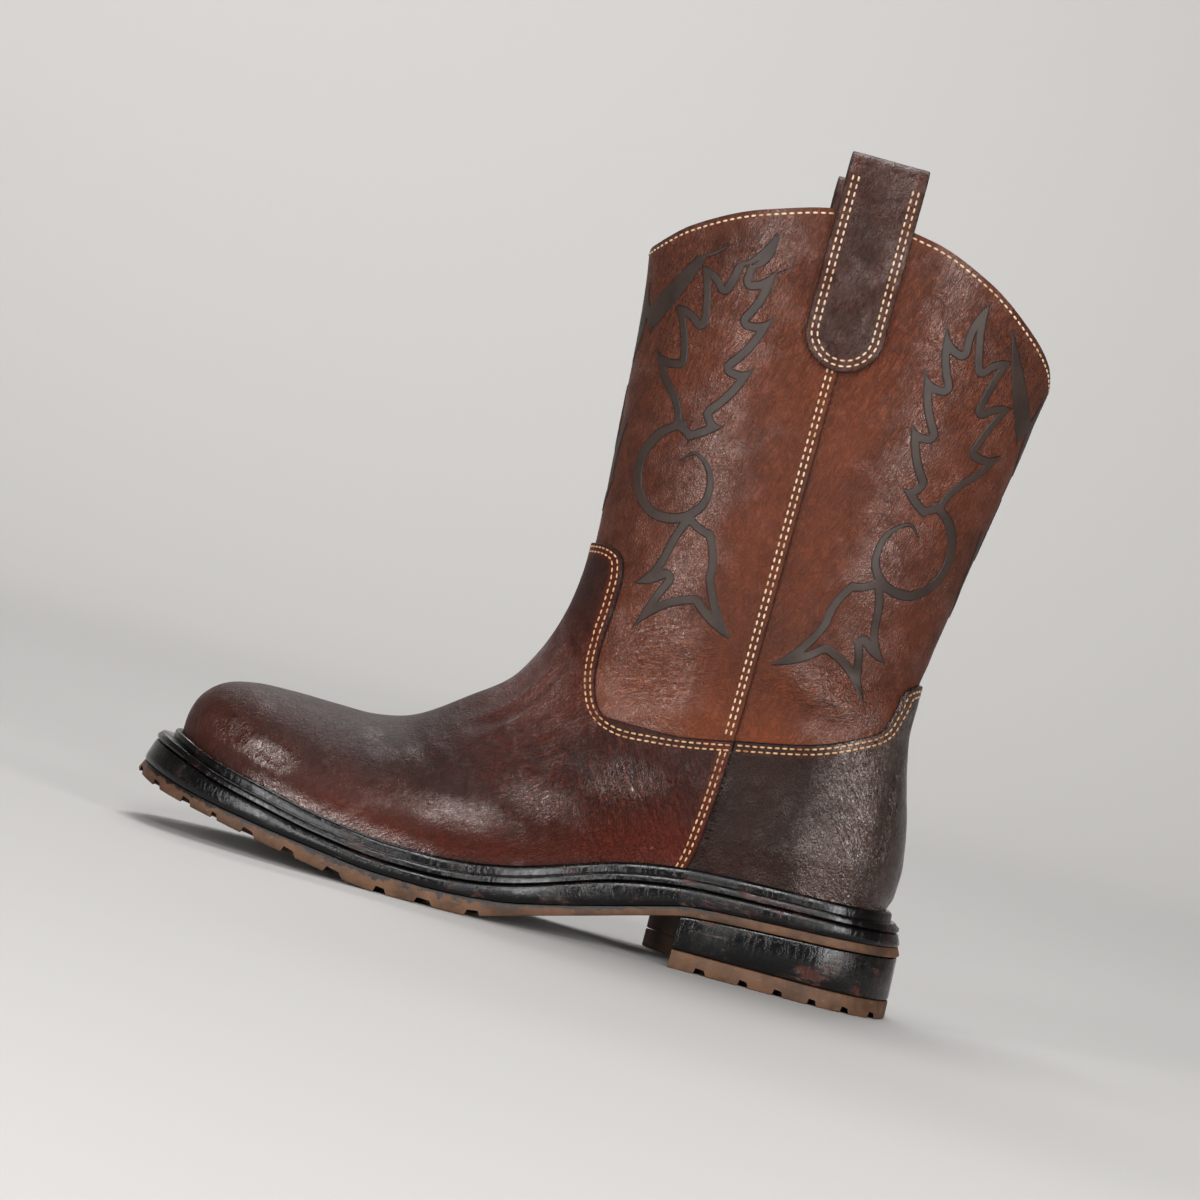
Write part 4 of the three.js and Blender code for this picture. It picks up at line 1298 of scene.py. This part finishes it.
def slab(name, rows):
    """A solid lofted through closed rows, flat across its underside and its top."""
    count = len(rows[0])
    points = np.vstack(rows)
    faces = [band(k * count, (k + 1) * count, count) for k in range(len(rows) - 1)]
    top = (len(rows) - 1) * count
    j = np.arange(count // 2)
    cap = triangles(j, j + 1, (count - j - 1) % count, (count - j) % count)
    cap = cap[(cap[:, 0] != cap[:, 1]) & (cap[:, 1] != cap[:, 2]) & (cap[:, 0] != cap[:, 2])]
    faces = np.vstack([*faces, cap[:, ::-1], cap + top])
    made = make_mesh(name, points, outward(points, faces))
    smooth(made, 42)
    return made


def prism(name, outline, low, high, axis):
    """A straight prism with an outline drawn across an axis, as a cutter."""
    p = np.array(outline, float)
    n = len(p)
    flat = np.zeros((2 * n, 3))
    rest = [k for k in range(3) if k != axis]
    flat[:n, rest] = flat[n:, rest] = p
    flat[:n, axis], flat[n:, axis] = low, high
    sides = [[i, (i + 1) % n, n + (i + 1) % n, n + i] for i in range(n)]
    ends = [list(range(n))[::-1], list(range(n, 2 * n))]
    return closed_form(name, in_frame(flat).tolist(), [*ends, *sides])


def closed_form(name, points, faces):
    """An object from points in metres and faces, turned so that it faces outward."""
    mesh = bpy.data.meshes.new(name)
    mesh.from_pydata(points, [], faces)
    mesh.calc_loop_triangles()
    volume = 0.0
    for t in mesh.loop_triangles:
        a, b, c = (mesh.vertices[k].co for k in t.vertices)
        volume += a.cross(b).dot(c)
    if volume < 0:
        mesh.flip_normals()
    return linked(name, mesh)


def joined(cutters, name):
    """Several closed forms that don't meet, as one object."""
    points, faces = [], []
    for cutter in cutters:
        start = len(points)
        points += [v.co[:] for v in cutter.data.vertices]
        faces += [[start + k for k in f.vertices] for f in cutter.data.polygons]
        bpy.data.objects.remove(cutter)
    mesh = bpy.data.meshes.new(name)
    mesh.from_pydata(points, [], faces)
    return linked(name, mesh)


def carved(made, *cutters):
    """Takes cutters out of a piece, and leaves it a plain mesh."""
    for cutter in cutters:
        carve = made.modifiers.new("carve", "BOOLEAN")
        carve.operation = "DIFFERENCE"
        carve.solver = "EXACT"
        carve.object = cutter
    plain_mesh(made)
    for cutter in cutters:
        bpy.data.objects.remove(cutter)
    smooth(made, 42)
    return made


def plain_mesh(made):
    """Replaces a piece's mesh by what its modifiers make of it."""
    graph = bpy.context.evaluated_depsgraph_get()
    result = bpy.data.meshes.new_from_object(made.evaluated_get(graph), depsgraph=graph)
    made.modifiers.clear()
    made.data = result


def welt():
    """The black welt, with its rounded edge, a channel, and the storm rib that stands against the leather."""
    edge = [
        (set_in(MIDSOLE_TOP, 1.4), -3.1), (set_in(MIDSOLE_TOP, 0.5), -3.1), (set_in(MIDSOLE_TOP, 0.15), -2.7),
        (set_in(MIDSOLE_TOP, 0.25), -1.6), (WELT_EDGE, -0.7), (set_in(WELT_EDGE, 0.25), -0.25),
        (set_in(WELT_EDGE, 0.8), 0.0),
    ]
    rows = [sole_row(ring, raised(welt_top, z)) for ring, z in edge]
    rib = OVERLAY + 2 * GAP
    profile = [
        (rib + RIB_WIDTH + 1.6, -0.1), (rib + RIB_WIDTH + 0.5, -0.6), (rib + RIB_WIDTH + 0.1, -0.3),
        (rib + RIB_WIDTH, 1.2), (rib + RIB_WIDTH - 0.15, 2.8), (rib + RIB_WIDTH - 0.6, 3.5), (rib + 1.3, 3.8),
        (rib + 0.6, 3.5), (rib + 0.1, 2.9), (rib, 1.5), (rib, 0), (-WALL, 0), (-WALL, -3.1),
    ]
    rows += [foot_row(out, raised(welt_top, z)) for out, z in profile]
    return dress(hoop("welt_strip", rows), BLACK_RUBBER, "black_rubber", "welt")


def midsole():
    """The midsole, whose edge swells a little between its rounded rims."""
    rows = [
        sole_row(set_in(OUTSOLE_TOP, 1.2), raised(outsole_top, 0.3)),
        sole_row(set_in(OUTSOLE_TOP, 0.3), raised(outsole_top, 0.35)),
        sole_row(set_in(OUTSOLE_TOP, 0.0), raised(outsole_top, 0.9)),
    ]
    for t in (0.25, 0.5, 0.75):
        ring = [mix(low, high, t) for low, high in zip(OUTSOLE_TOP, MIDSOLE_TOP)]
        swelled = set_in(ring, -0.25)
        rows.append(sole_row(swelled, lambda x, t=t: mix(outsole_top(x) + 0.9, welt_top(x) - 4.6, t)))
    rows += [
        sole_row(set_in(MIDSOLE_TOP, -0.1), raised(welt_top, -4.4)),
        sole_row(set_in(MIDSOLE_TOP, 0.2), raised(welt_top, -3.9)),
        sole_row(set_in(MIDSOLE_TOP, 0.9), raised(welt_top, -3.6)),
    ]
    return dress(slab("midsole_black", rows), BLACK_RUBBER, "black_rubber", "midsole")


# Notches between the lugs of the tread's edge, as (station, width).
TREAD_NOTCHES = [
    (2.4, 1.6), (11, 2.8), (24.6, 3.6), (37, 2.4), (51.5, 5), (68.5, 5), (87, 6.4), (106, 4.2), (123, 6),
    (142, 5),
]
LIFT_NOTCHES = [(232, 4.2), (249.2, 3.6), (263, 3.6), (276.6, 3.2), (289.8, 3), (301, 2.4)]
CENTRE_GROOVES = range(33, 130, 16)
GROOVE_DEPTH = 2.2
HEEL_BREAST = 232  # everything of the heel's front face lies ahead of this station


def on_ground(x, surface, shape):
    """An outline of the side view, drawn from a station on the tread, that leans with the tread."""
    slope = rate(surface, x, 2)
    return [(x + a, surface(x) + slope * a + b) for a, b in shape]


def notch_outline(x, width, surface, depth):
    """A slanting notch drawn in the side view, wider at the ground."""
    return on_ground(x, surface, [
        (-width * 0.62, -6), (-width * 0.62, -0.1), (-width * 0.44, depth), (width * 0.36, depth * 0.86),
        (width * 0.66, -0.1), (width * 0.66, -6),
    ])


def edge_notches(ring, notches, surface, depth, run):
    """Cutters for notches that run in from the edge on both sides."""
    cutters = []
    for x, width in notches:
        for side in (LATERAL, MEDIAL):
            share = (x - ring[0]) / (ring[1] - ring[0])
            _, y = ring_line(ring, side, np.array([share]))
            reach = sorted((float(y[0]) - side * run, float(y[0]) + side * 20))
            cutters.append(prism("notch", notch_outline(x, width, surface, depth), *reach, axis=1))
    return joined(cutters, "notches")


def stations_and_heights(made):
    at = np.empty(3 * len(made.data.vertices), np.float32)
    made.data.vertices.foreach_get("co", at)
    at = at.reshape(-1, 3) / MM
    return at[:, 0] + HEEL_ORIGIN, at[:, 2]


def outsole():
    """The gum rubber outsole, with lugs along its edge and across the forefoot."""
    rows = [
        sole_row(set_in(TREAD, 0.9), tread_line),
        sole_row(set_in(TREAD, 0.25), raised(tread_line, 0.25)),
        sole_row(TREAD, raised(tread_line, 0.9)),
        sole_row(OUTSOLE_TOP, raised(outsole_top, -0.6)),
        sole_row(set_in(OUTSOLE_TOP, 0.25), raised(outsole_top, -0.1)),
        sole_row(set_in(OUTSOLE_TOP, 0.9), outsole_top),
    ]
    made = slab("outsole_gum", rows)
    across = [(-1.9, -6), (-1.2, GROOVE_DEPTH), (1.2, GROOVE_DEPTH), (1.9, -6)]
    grooves = []
    for x in CENTRE_GROOVES:
        grooves.append(prism("groove", on_ground(x, tread_line, across), -24, 30, axis=1))
    notches = edge_notches(TREAD, TREAD_NOTCHES, tread_line, LUG_DEPTH, 11)
    carved(made, notches, joined(grooves, "grooves"))
    x, z = stations_and_heights(made)
    paint(made, "dark", 0.75 * bell(outsole_top(x) - z, 0, 1.3) * (x < HEEL_BREAST))
    return dress(made, GUM_RUBBER, "gum_rubber", "outsole")


BREAST = smooth_path([
    [219.6, -60], [219.8, -34], [225, -14], [225.5, 4], [219, 22], [209.5, 36], [205, 60],
], 6)


def heel_piece(name, rings):
    """A layer of the heel, lofted through rings and their heights and cut hollow in front."""
    made = slab(name, [sole_row(ring, height) for ring, height in rings])
    front = prism("front", [[-20, -70], *BREAST.tolist(), [-20, 70]], -5, 60, axis=2)
    return carved(made, front)


def heel_block():
    """The stacked heel, painted black round its outside and left gum brown in front."""
    def top(x):
        return np.maximum(tread_line(x) - GAP, LIFT_THICKNESS + 1.5)

    low = LIFT_THICKNESS + GAP
    made = heel_piece("heel_block_black", [
        ((0.9, 306.7, 0.9), level(low)),
        ((0.2, 307.4, 0.2), level(low + 0.3)),
        ((0, 307.6, 0), level(low + 0.9)),
        ((0, 306.9, 0), raised(top, -0.8)),
        ((0.2, 306.7, 0.2), raised(top, -0.25)),
        ((0.9, 306.1, 0.9), top),
    ])
    made.data.materials.append(BLACK_RUBBER)
    made.data.materials.append(GUM_RUBBER)
    breast = (HEEL_BREAST - HEEL_ORIGIN) * MM
    for face in made.data.polygons:
        if face.normal.x < -0.5 and face.center.x < breast:
            face.material_index = 1
    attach(made, "root")
    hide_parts("heel_block")


def heel_lift():
    """The gum rubber lift that the heel stands on, notched round its edge."""
    made = heel_piece("heel_lift_gum", [
        ((0.9, 307.2, 0.9), level(0)),
        ((0.2, 307.8, 0.2), level(0.25)),
        ((0, SOLE_LENGTH, 0), level(0.9)),
        ((0, 307.8, 0), level(6.6)),
        ((0.2, 307.6, 0.2), level(7.0)),
        ((0.9, 306.9, 0.9), level(LIFT_THICKNESS)),
    ])
    carved(made, edge_notches((0, SOLE_LENGTH, 0), LIFT_NOTCHES, level(0), LUG_DEPTH, 9))
    return dress(made, GUM_RUBBER, "gum_rubber", "heel_lift")


def insole():
    """The insole board, inside the foot of the lining."""
    inner = -WALL - GAP
    edge = [(inner, -3.2), (inner, 2.6), (inner - 0.4, 3.1), (inner - 1.4, 3.2)]
    rows = [foot_row(out, raised(welt_top, z)) for out, z in edge]
    return dress(slab("insole_board", rows), INSOLE_LEATHER, "insole_leather", "insole")


# ---------------------------------------------------------------- the pull straps

class Strap:
    """A strap's run up the shaft, over its fold and down inside, by station and by length along it."""

    def __init__(self, side):
        self.side = side
        half = STRAP_THICKNESS / 2

        def face(z):
            return float(np.abs(SPINE(STRAP_STATION) + side * leather_width(STRAP_STATION, z, side)))

        up = [(face(z) + GAP + half, z) for z in (STRAP_OUTER_END, 245, 255, 265, 275, 285, 296)]
        inside = WALL + GAP + STRAP_SLACK + half
        down = [(face(z) - inside, z) for z in (296, 288, 280, 271, STRAP_INNER_END)]
        middle = (up[-1][0] + down[0][0]) / 2
        radius = STRAP_LOOP_GAP / 2 + half
        crown = STRAP_TOP - STRAP_THICKNESS - STRAP_LOOP_GAP / 2
        turn = np.linspace(0, math.pi, 9)
        fold = np.stack([middle + radius * np.cos(turn), crown + radius * np.sin(turn)], 1)
        self.path = smooth_path([*up, *fold, *down], 10)
        self.run = run_along(self.path)
        self.length = self.run[-1]

    def place(self, x, s, height):
        """Points at a height over the strap's middle layer, and the directions it faces."""
        def width(u):
            return leather_width(u, low, self.side)

        s = np.clip(s, 0, self.length)
        y, z = follow(self.path, self.run, s)
        ahead = np.subtract(follow(self.path, self.run, s + 0.4), follow(self.path, self.run, s - 0.4))
        size = np.hypot(*ahead)
        out_y, out_z = ahead[1] / size, -ahead[0] / size
        hug = ease((298 - z) / 14) * (s < self.length / 2)
        low = np.minimum(z, 297)
        bend = self.side * (SPINE(x) - SPINE(STRAP_STATION)) + width(x) - width(STRAP_STATION + 0 * x)
        lean = rate(width, x) * hug
        y = y + bend * hug
        direction = np.stack([-lean, self.side * out_y, out_z], -1)
        direction /= np.linalg.norm(direction, axis=-1)[..., None]
        wave = 0.35 * np.sin(s / 9 + 1) * np.sin(x / 7) + 0.25 * np.sin(s / 15 + x / 11)
        at = np.stack([x, self.side * y, z], -1)
        return at + direction * (height + wave * 0.6)[..., None], direction

    def depth(self, x, s):
        """How far inside the strap's outline a point lies."""
        radius = STRAP_WIDTH / 2
        across = np.abs(x - STRAP_STATION)
        round_end = radius - np.hypot(across, np.minimum(s - radius, 0))
        return np.minimum(round_end, self.length - s)

    def make(self, name):
        reach = STRAP_WIDTH / 2 + 0.6
        across = np.linspace(-reach, reach, int(34 * FINE)) + STRAP_STATION
        along = steps(-0.6, self.length + 0.6, 0.9)
        x, s = np.meshgrid(across, along)
        index = np.arange(x.size).reshape(x.shape)
        faces = triangles(index[:-1, :-1], index[:-1, 1:], index[1:, 1:], index[1:, :-1])
        sheet = Sheet(x.ravel(), s.ravel(), np.full(x.size, self.side), faces).trimmed(self.depth, (0.2, 0.7))
        inset = self.depth(sheet.x, sheet.z)
        half = STRAP_THICKNESS / 2
        round_over = 0.55 * (1 - np.sqrt(1 - (1 - clamp(inset / 0.7)) ** 2))
        top, out = self.place(sheet.x, sheet.z, half - round_over)
        bottom, _ = self.place(sheet.x, sheet.z, round_over - half)
        made = skin_shell(name, sheet.faces, top, bottom, out)
        even = np.ones(inset.shape)
        wear_and_painted_light(
            made,
            burnish=0.45 * sewn_edge(inset),
            dark=0.9 * bell(inset, 0, 0.5),
            creased=0.4 * even,
            steep=0 * even,
            shine=0.35 * even,
        )
        return made

    def seam(self, by):
        """The line of a row of stitches, in from the edge, down one side, round the end and up the other."""
        radius = STRAP_WIDTH / 2
        turn = np.linspace(0, math.pi, 60)[1:-1]
        rise = np.linspace(radius, self.length / 2 + 2, 80)
        reach = radius - by
        across = np.concatenate([-reach + 0 * rise, -reach * np.cos(turn), reach + 0 * rise])
        along = np.concatenate([rise[::-1], radius - reach * np.sin(turn), rise])
        return STRAP_STATION + across, along


def pull_straps():
    for side, word in ((LATERAL, "lateral"), (MEDIAL, "medial")):
        made = Strap(side).make(f"strap_{word}")
        dress(made, STRAP_LEATHER, "strap_leather", f"pull_strap_{word}")


# ---------------------------------------------------------------- stitching

class Seams:
    """Stitches waiting to be sewn: where each lies, which way it runs and which way is up."""

    def __init__(self):
        self.at, self.along, self.up = [], [], []

    def sew(self, points, up, pitch):
        """Spaces stitches evenly along a line of points."""
        run = run_along(points)
        count = int(run[-1] / pitch)
        s = (np.arange(count) + 0.5) * run[-1] / count
        ahead = np.subtract(follow(points, run, s + 0.8), follow(points, run, s - 0.8))
        self.at.append(np.stack(follow(points, run, s), 1))
        self.along.append(ahead.T)
        self.up.append(np.stack(follow(up, run, s), 1))

    def on_leather(self, line, offset, pitch):
        """Sews along a line of the side view, on each side."""
        for side in (LATERAL, MEDIAL):
            sheet = Sheet(line[:, 0], line[:, 1], np.full(len(line), side), None)
            self.sew(*sheet.placed(offset), pitch)


def stitch_form(name, length, width, height):
    """One stitch: a short thread, rounded and pulled down at its ends."""
    rings, sides = 7, 6
    points, faces = [], []
    for i in range(rings):
        t = -1 + 2 * i / (rings - 1)
        size = max(1 - abs(t) ** 3, 0.18) / 2
        sink = -0.5 * abs(t) ** 3
        for j in range(sides):
            a = 2 * math.pi * (j + 0.5) / sides
            point = (t * length / 2, width * size * math.cos(a), height * (sink + size * math.sin(a)))
            points.append([v * MM for v in point])
    for i in range(rings - 1):
        for j in range(sides):
            k = (j + 1) % sides
            faces.append((i * sides + j, i * sides + k, (i + 1) * sides + k, (i + 1) * sides + j))
    faces.append(tuple(range(sides))[::-1])
    faces.append(tuple(range((rings - 1) * sides, rings * sides)))
    made = closed_form(name, points, faces)
    made.data.polygons.foreach_set("use_smooth", np.ones(len(faces), bool))
    return made


def stitching_tree():
    """Puts a stitch on every point, turned along the seam and square to the leather."""
    tree = bpy.data.node_groups.new("stitching", "GeometryNodeTree")
    face = tree.interface
    face.new_socket("Seam", in_out="INPUT", socket_type="NodeSocketGeometry")
    face.new_socket("Stitch", in_out="INPUT", socket_type="NodeSocketObject")
    face.new_socket("Thread", in_out="INPUT", socket_type="NodeSocketMaterial")
    face.new_socket("Sewn", in_out="OUTPUT", socket_type="NodeSocketGeometry")

    def node(kind, **settings):
        made = tree.nodes.new(kind)
        for key, value in settings.items():
            setattr(made, key, value)
        return made

    start, end = node("NodeGroupInput"), node("NodeGroupOutput")
    info = node("GeometryNodeObjectInfo")
    along = node("GeometryNodeInputNamedAttribute", data_type="FLOAT_VECTOR")
    along.inputs["Name"].default_value = "along"
    up = node("GeometryNodeInputNamedAttribute", data_type="FLOAT_VECTOR")
    up.inputs["Name"].default_value = "up"
    turn = node("FunctionNodeAxesToRotation", primary_axis="X", secondary_axis="Z")
    place = node("GeometryNodeInstanceOnPoints")
    real = node("GeometryNodeRealizeInstances")
    thread = node("GeometryNodeSetMaterial")
    link = tree.links.new
    link(start.outputs["Seam"], place.inputs["Points"])
    link(start.outputs["Stitch"], info.inputs["Object"])
    link(info.outputs["Geometry"], place.inputs["Instance"])
    link(along.outputs["Attribute"], turn.inputs["Primary Axis"])
    link(up.outputs["Attribute"], turn.inputs["Secondary Axis"])
    link(turn.outputs["Rotation"], place.inputs["Rotation"])
    link(place.outputs["Instances"], real.inputs["Geometry"])
    link(real.outputs["Geometry"], thread.inputs["Geometry"])
    link(start.outputs["Thread"], thread.inputs["Material"])
    link(thread.outputs["Geometry"], end.inputs["Sewn"])
    return tree


def sewn(name, seams, tree, stitch, thread):
    """All the stitches of one thread as one piece."""
    mesh = point_mesh(name, np.vstack(seams.at))
    for word, vectors in (("along", seams.along), ("up", seams.up)):
        kept = mesh.attributes.new(word, "FLOAT_VECTOR", "POINT")
        kept.data.foreach_set("vector", np.vstack(vectors).astype(np.float32).ravel())
    made = linked(name, mesh)
    mesh.materials.append(thread)
    sew = made.modifiers.new("sew", "NODES")
    sew.node_group = tree
    inputs = {item.name: item.identifier for item in tree.interface.items_tree if item.in_out == "INPUT"}
    sew[inputs["Stitch"]] = stitch
    sew[inputs["Thread"]] = thread
    made.update_tag()
    bpy.context.view_layer.update()
    plain_mesh(made)
    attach(made, "root")


def inset_line(points, by):
    """A line of the side view moved to its left by a distance."""
    ahead = np.gradient(points, axis=0)
    ahead /= np.linalg.norm(ahead, axis=1)[:, None]
    return points + by * np.stack([-ahead[:, 1], ahead[:, 0]], 1)


def on_sheet(line):
    """The part of a line that lies on the leather's side, clear of the ridge and of the side seam's edge."""
    x, z = follow(line, np.arange(len(line)), np.linspace(0, len(line) - 1, 20 * len(line)))
    clear = (leather_width(x, z, LATERAL) > 1.4) & (np.abs(ahead_of_seam(x, z)) > 0.9)
    return np.stack([x, z], 1)[clear]


def seam_line(by, low, high):
    z = np.linspace(low, high, 200)
    return np.stack([SIDE_SEAM(z) - by, z], 1)


def stitching():
    """The double rows of cream and tan stitches, and the single one along the collar."""
    cream, tan = Seams(), Seams()
    on_overlay = GAP + OVERLAY - 0.02
    for by in (2.2, 4.2):
        cream.on_leather(seam_line(by, 91.5, 238), 0.95, 3.1)
        tan.on_leather(seam_line(by, 34, UNDER_TOPS), GAP + OVERLAY + 0.95, 3.0)
    for by in (1.6, 3.6):
        line = on_sheet(inset_line(VAMP_TOP, by))
        tan.on_leather(line, on_overlay + lap_rise(*line.T), 2.8)
        tan.on_leather(on_sheet(inset_line(COUNTER_TOP, -by)), on_overlay, 2.8)
    x = np.linspace(141.2, 306.6, 500)
    cream.on_leather(np.stack([x, COLLAR_LINE(x) - 2.6], 1), -0.02, 3.0)
    for side in (LATERAL, MEDIAL):
        strap = Strap(side)
        for by in (2.4, 4.6):
            x, s = strap.seam(by)
            cream.sew(*strap.place(x, s, STRAP_THICKNESS / 2 - 0.02 + 0 * s), 3.0)
    tree = stitching_tree()
    stitch = stitch_form("stitch", 2.6, 0.85, 0.7)
    sewn("stitches_cream", cream, tree, stitch, CREAM_THREAD)
    sewn("stitches_tan", tan, tree, stitch, TAN_THREAD)
    bpy.data.objects.remove(stitch)


vamp()
heel_counter()
shaft_panels()
lining()
inlay("inlay_front", "front", 0)
inlay("inlay_back", "back", 5)
welt()
midsole()
outsole()
heel_block()
heel_lift()
insole()
pull_straps()
stitching()


# ---------------------------------------------------------------- camera, light and floor

def aim(made, at, up=Vector((0, 0, 1))):
    back = (made.location - Vector(at)).normalized()
    right = up.cross(back).normalized()
    made.matrix_world = Matrix.Translation(made.location) @ Matrix(
        (right, back.cross(right), back)
    ).transposed().to_4x4()


CAMERA_AT = (-0.106, -1.6, 0.1292)
CAMERA_LENS = 122.3
CAMERA_ROLL = math.radians(15.1)


def camera():
    """A long lens, square to the boot's outer side and rolled, so that the heel lies lowest."""
    lens = bpy.data.cameras.new("camera")
    lens.lens = CAMERA_LENS
    lens.sensor_width = 36
    made = linked("camera", lens)
    made.location = CAMERA_AT
    aim(made, (CAMERA_AT[0], 0, CAMERA_AT[2]), Vector((-math.sin(CAMERA_ROLL), 0, math.cos(CAMERA_ROLL))))
    bpy.context.scene.camera = made


def softbox(name, place, target, size, power):
    light = bpy.data.lights.new(name, "AREA")
    light.shape = "RECTANGLE"
    light.size, light.size_y = size
    light.energy = power
    made = linked(name, light)
    made.location = place
    aim(made, target)


FLOOR_RADIUS = 2.4
WALL_TOP = 5.5


def stage():
    """A pale floor that curves up into a wall all round."""
    flat = [(r, 0) for r in np.linspace(0.3, FLOOR_RADIUS, 8)]
    curve = np.linspace(0, math.pi / 2, 17)[1:]
    rising = [(FLOOR_RADIUS * (1 + math.sin(a)), FLOOR_RADIUS * (1 - math.cos(a))) for a in curve]
    rings = [*flat, *rising, (2 * FLOOR_RADIUS, WALL_TOP)]
    count = 96
    turn = 2 * np.pi * np.arange(count) / count
    points = [[0, 0, 0]]
    for r, h in rings:
        points += [[r * math.cos(a), r * math.sin(a), h] for a in turn]
    middle = [[0, 1 + i, 1 + (i + 1) % count] for i in range(count)]
    bands = [band(1 + k * count, 1 + (k + 1) * count, count)[:, ::-1] for k in range(len(rings) - 1)]
    made = make_mesh("floor", np.array(points) / MM + [HEEL_ORIGIN, 0, 0], np.vstack([middle, *bands]))
    smooth(made, 60)
    look = Look("pale_floor")
    look.set(Base_Color=colour(168, 166, 164), Roughness=0.85, Specular_IOR_Level=0.2)
    made.data.materials.append(look.material)


def world():
    made = bpy.data.worlds.new("studio")
    made.use_nodes = True
    made.node_tree.nodes["Background"].inputs[0].default_value = (0.9, 0.88, 0.86, 1)
    made.node_tree.nodes["Background"].inputs[1].default_value = 0.05
    bpy.context.scene.world = made
    bpy.context.scene.view_settings.view_transform = "Standard"


camera()
stage()
world()
softbox("key", (0.0, -2.2, 1.3), (-0.1, 0, 0.15), (0.8, 0.5), 27)
softbox("left", (-1.12, -1.2, 0.42), (-0.1, 0, 0.25), (0.36, 0.76), 14)
softbox("right", (0.8, -1.24, 0.4), (-0.1, 0, 0.25), (0.44, 0.74), 17)
softbox("low", (-0.62, -1.3, 0.17), (-0.2, 0, 0.03), (0.5, 0.26), 3.5)
softbox("top", (-0.2, 0.3, 2.0), (-0.1, 0, 0.12), (1.0, 0.8), 30)
softbox("wall", (-0.5, 2.9, 2.9), (-0.4, 3.6, 0.3), (3.0, 1.2), 118)
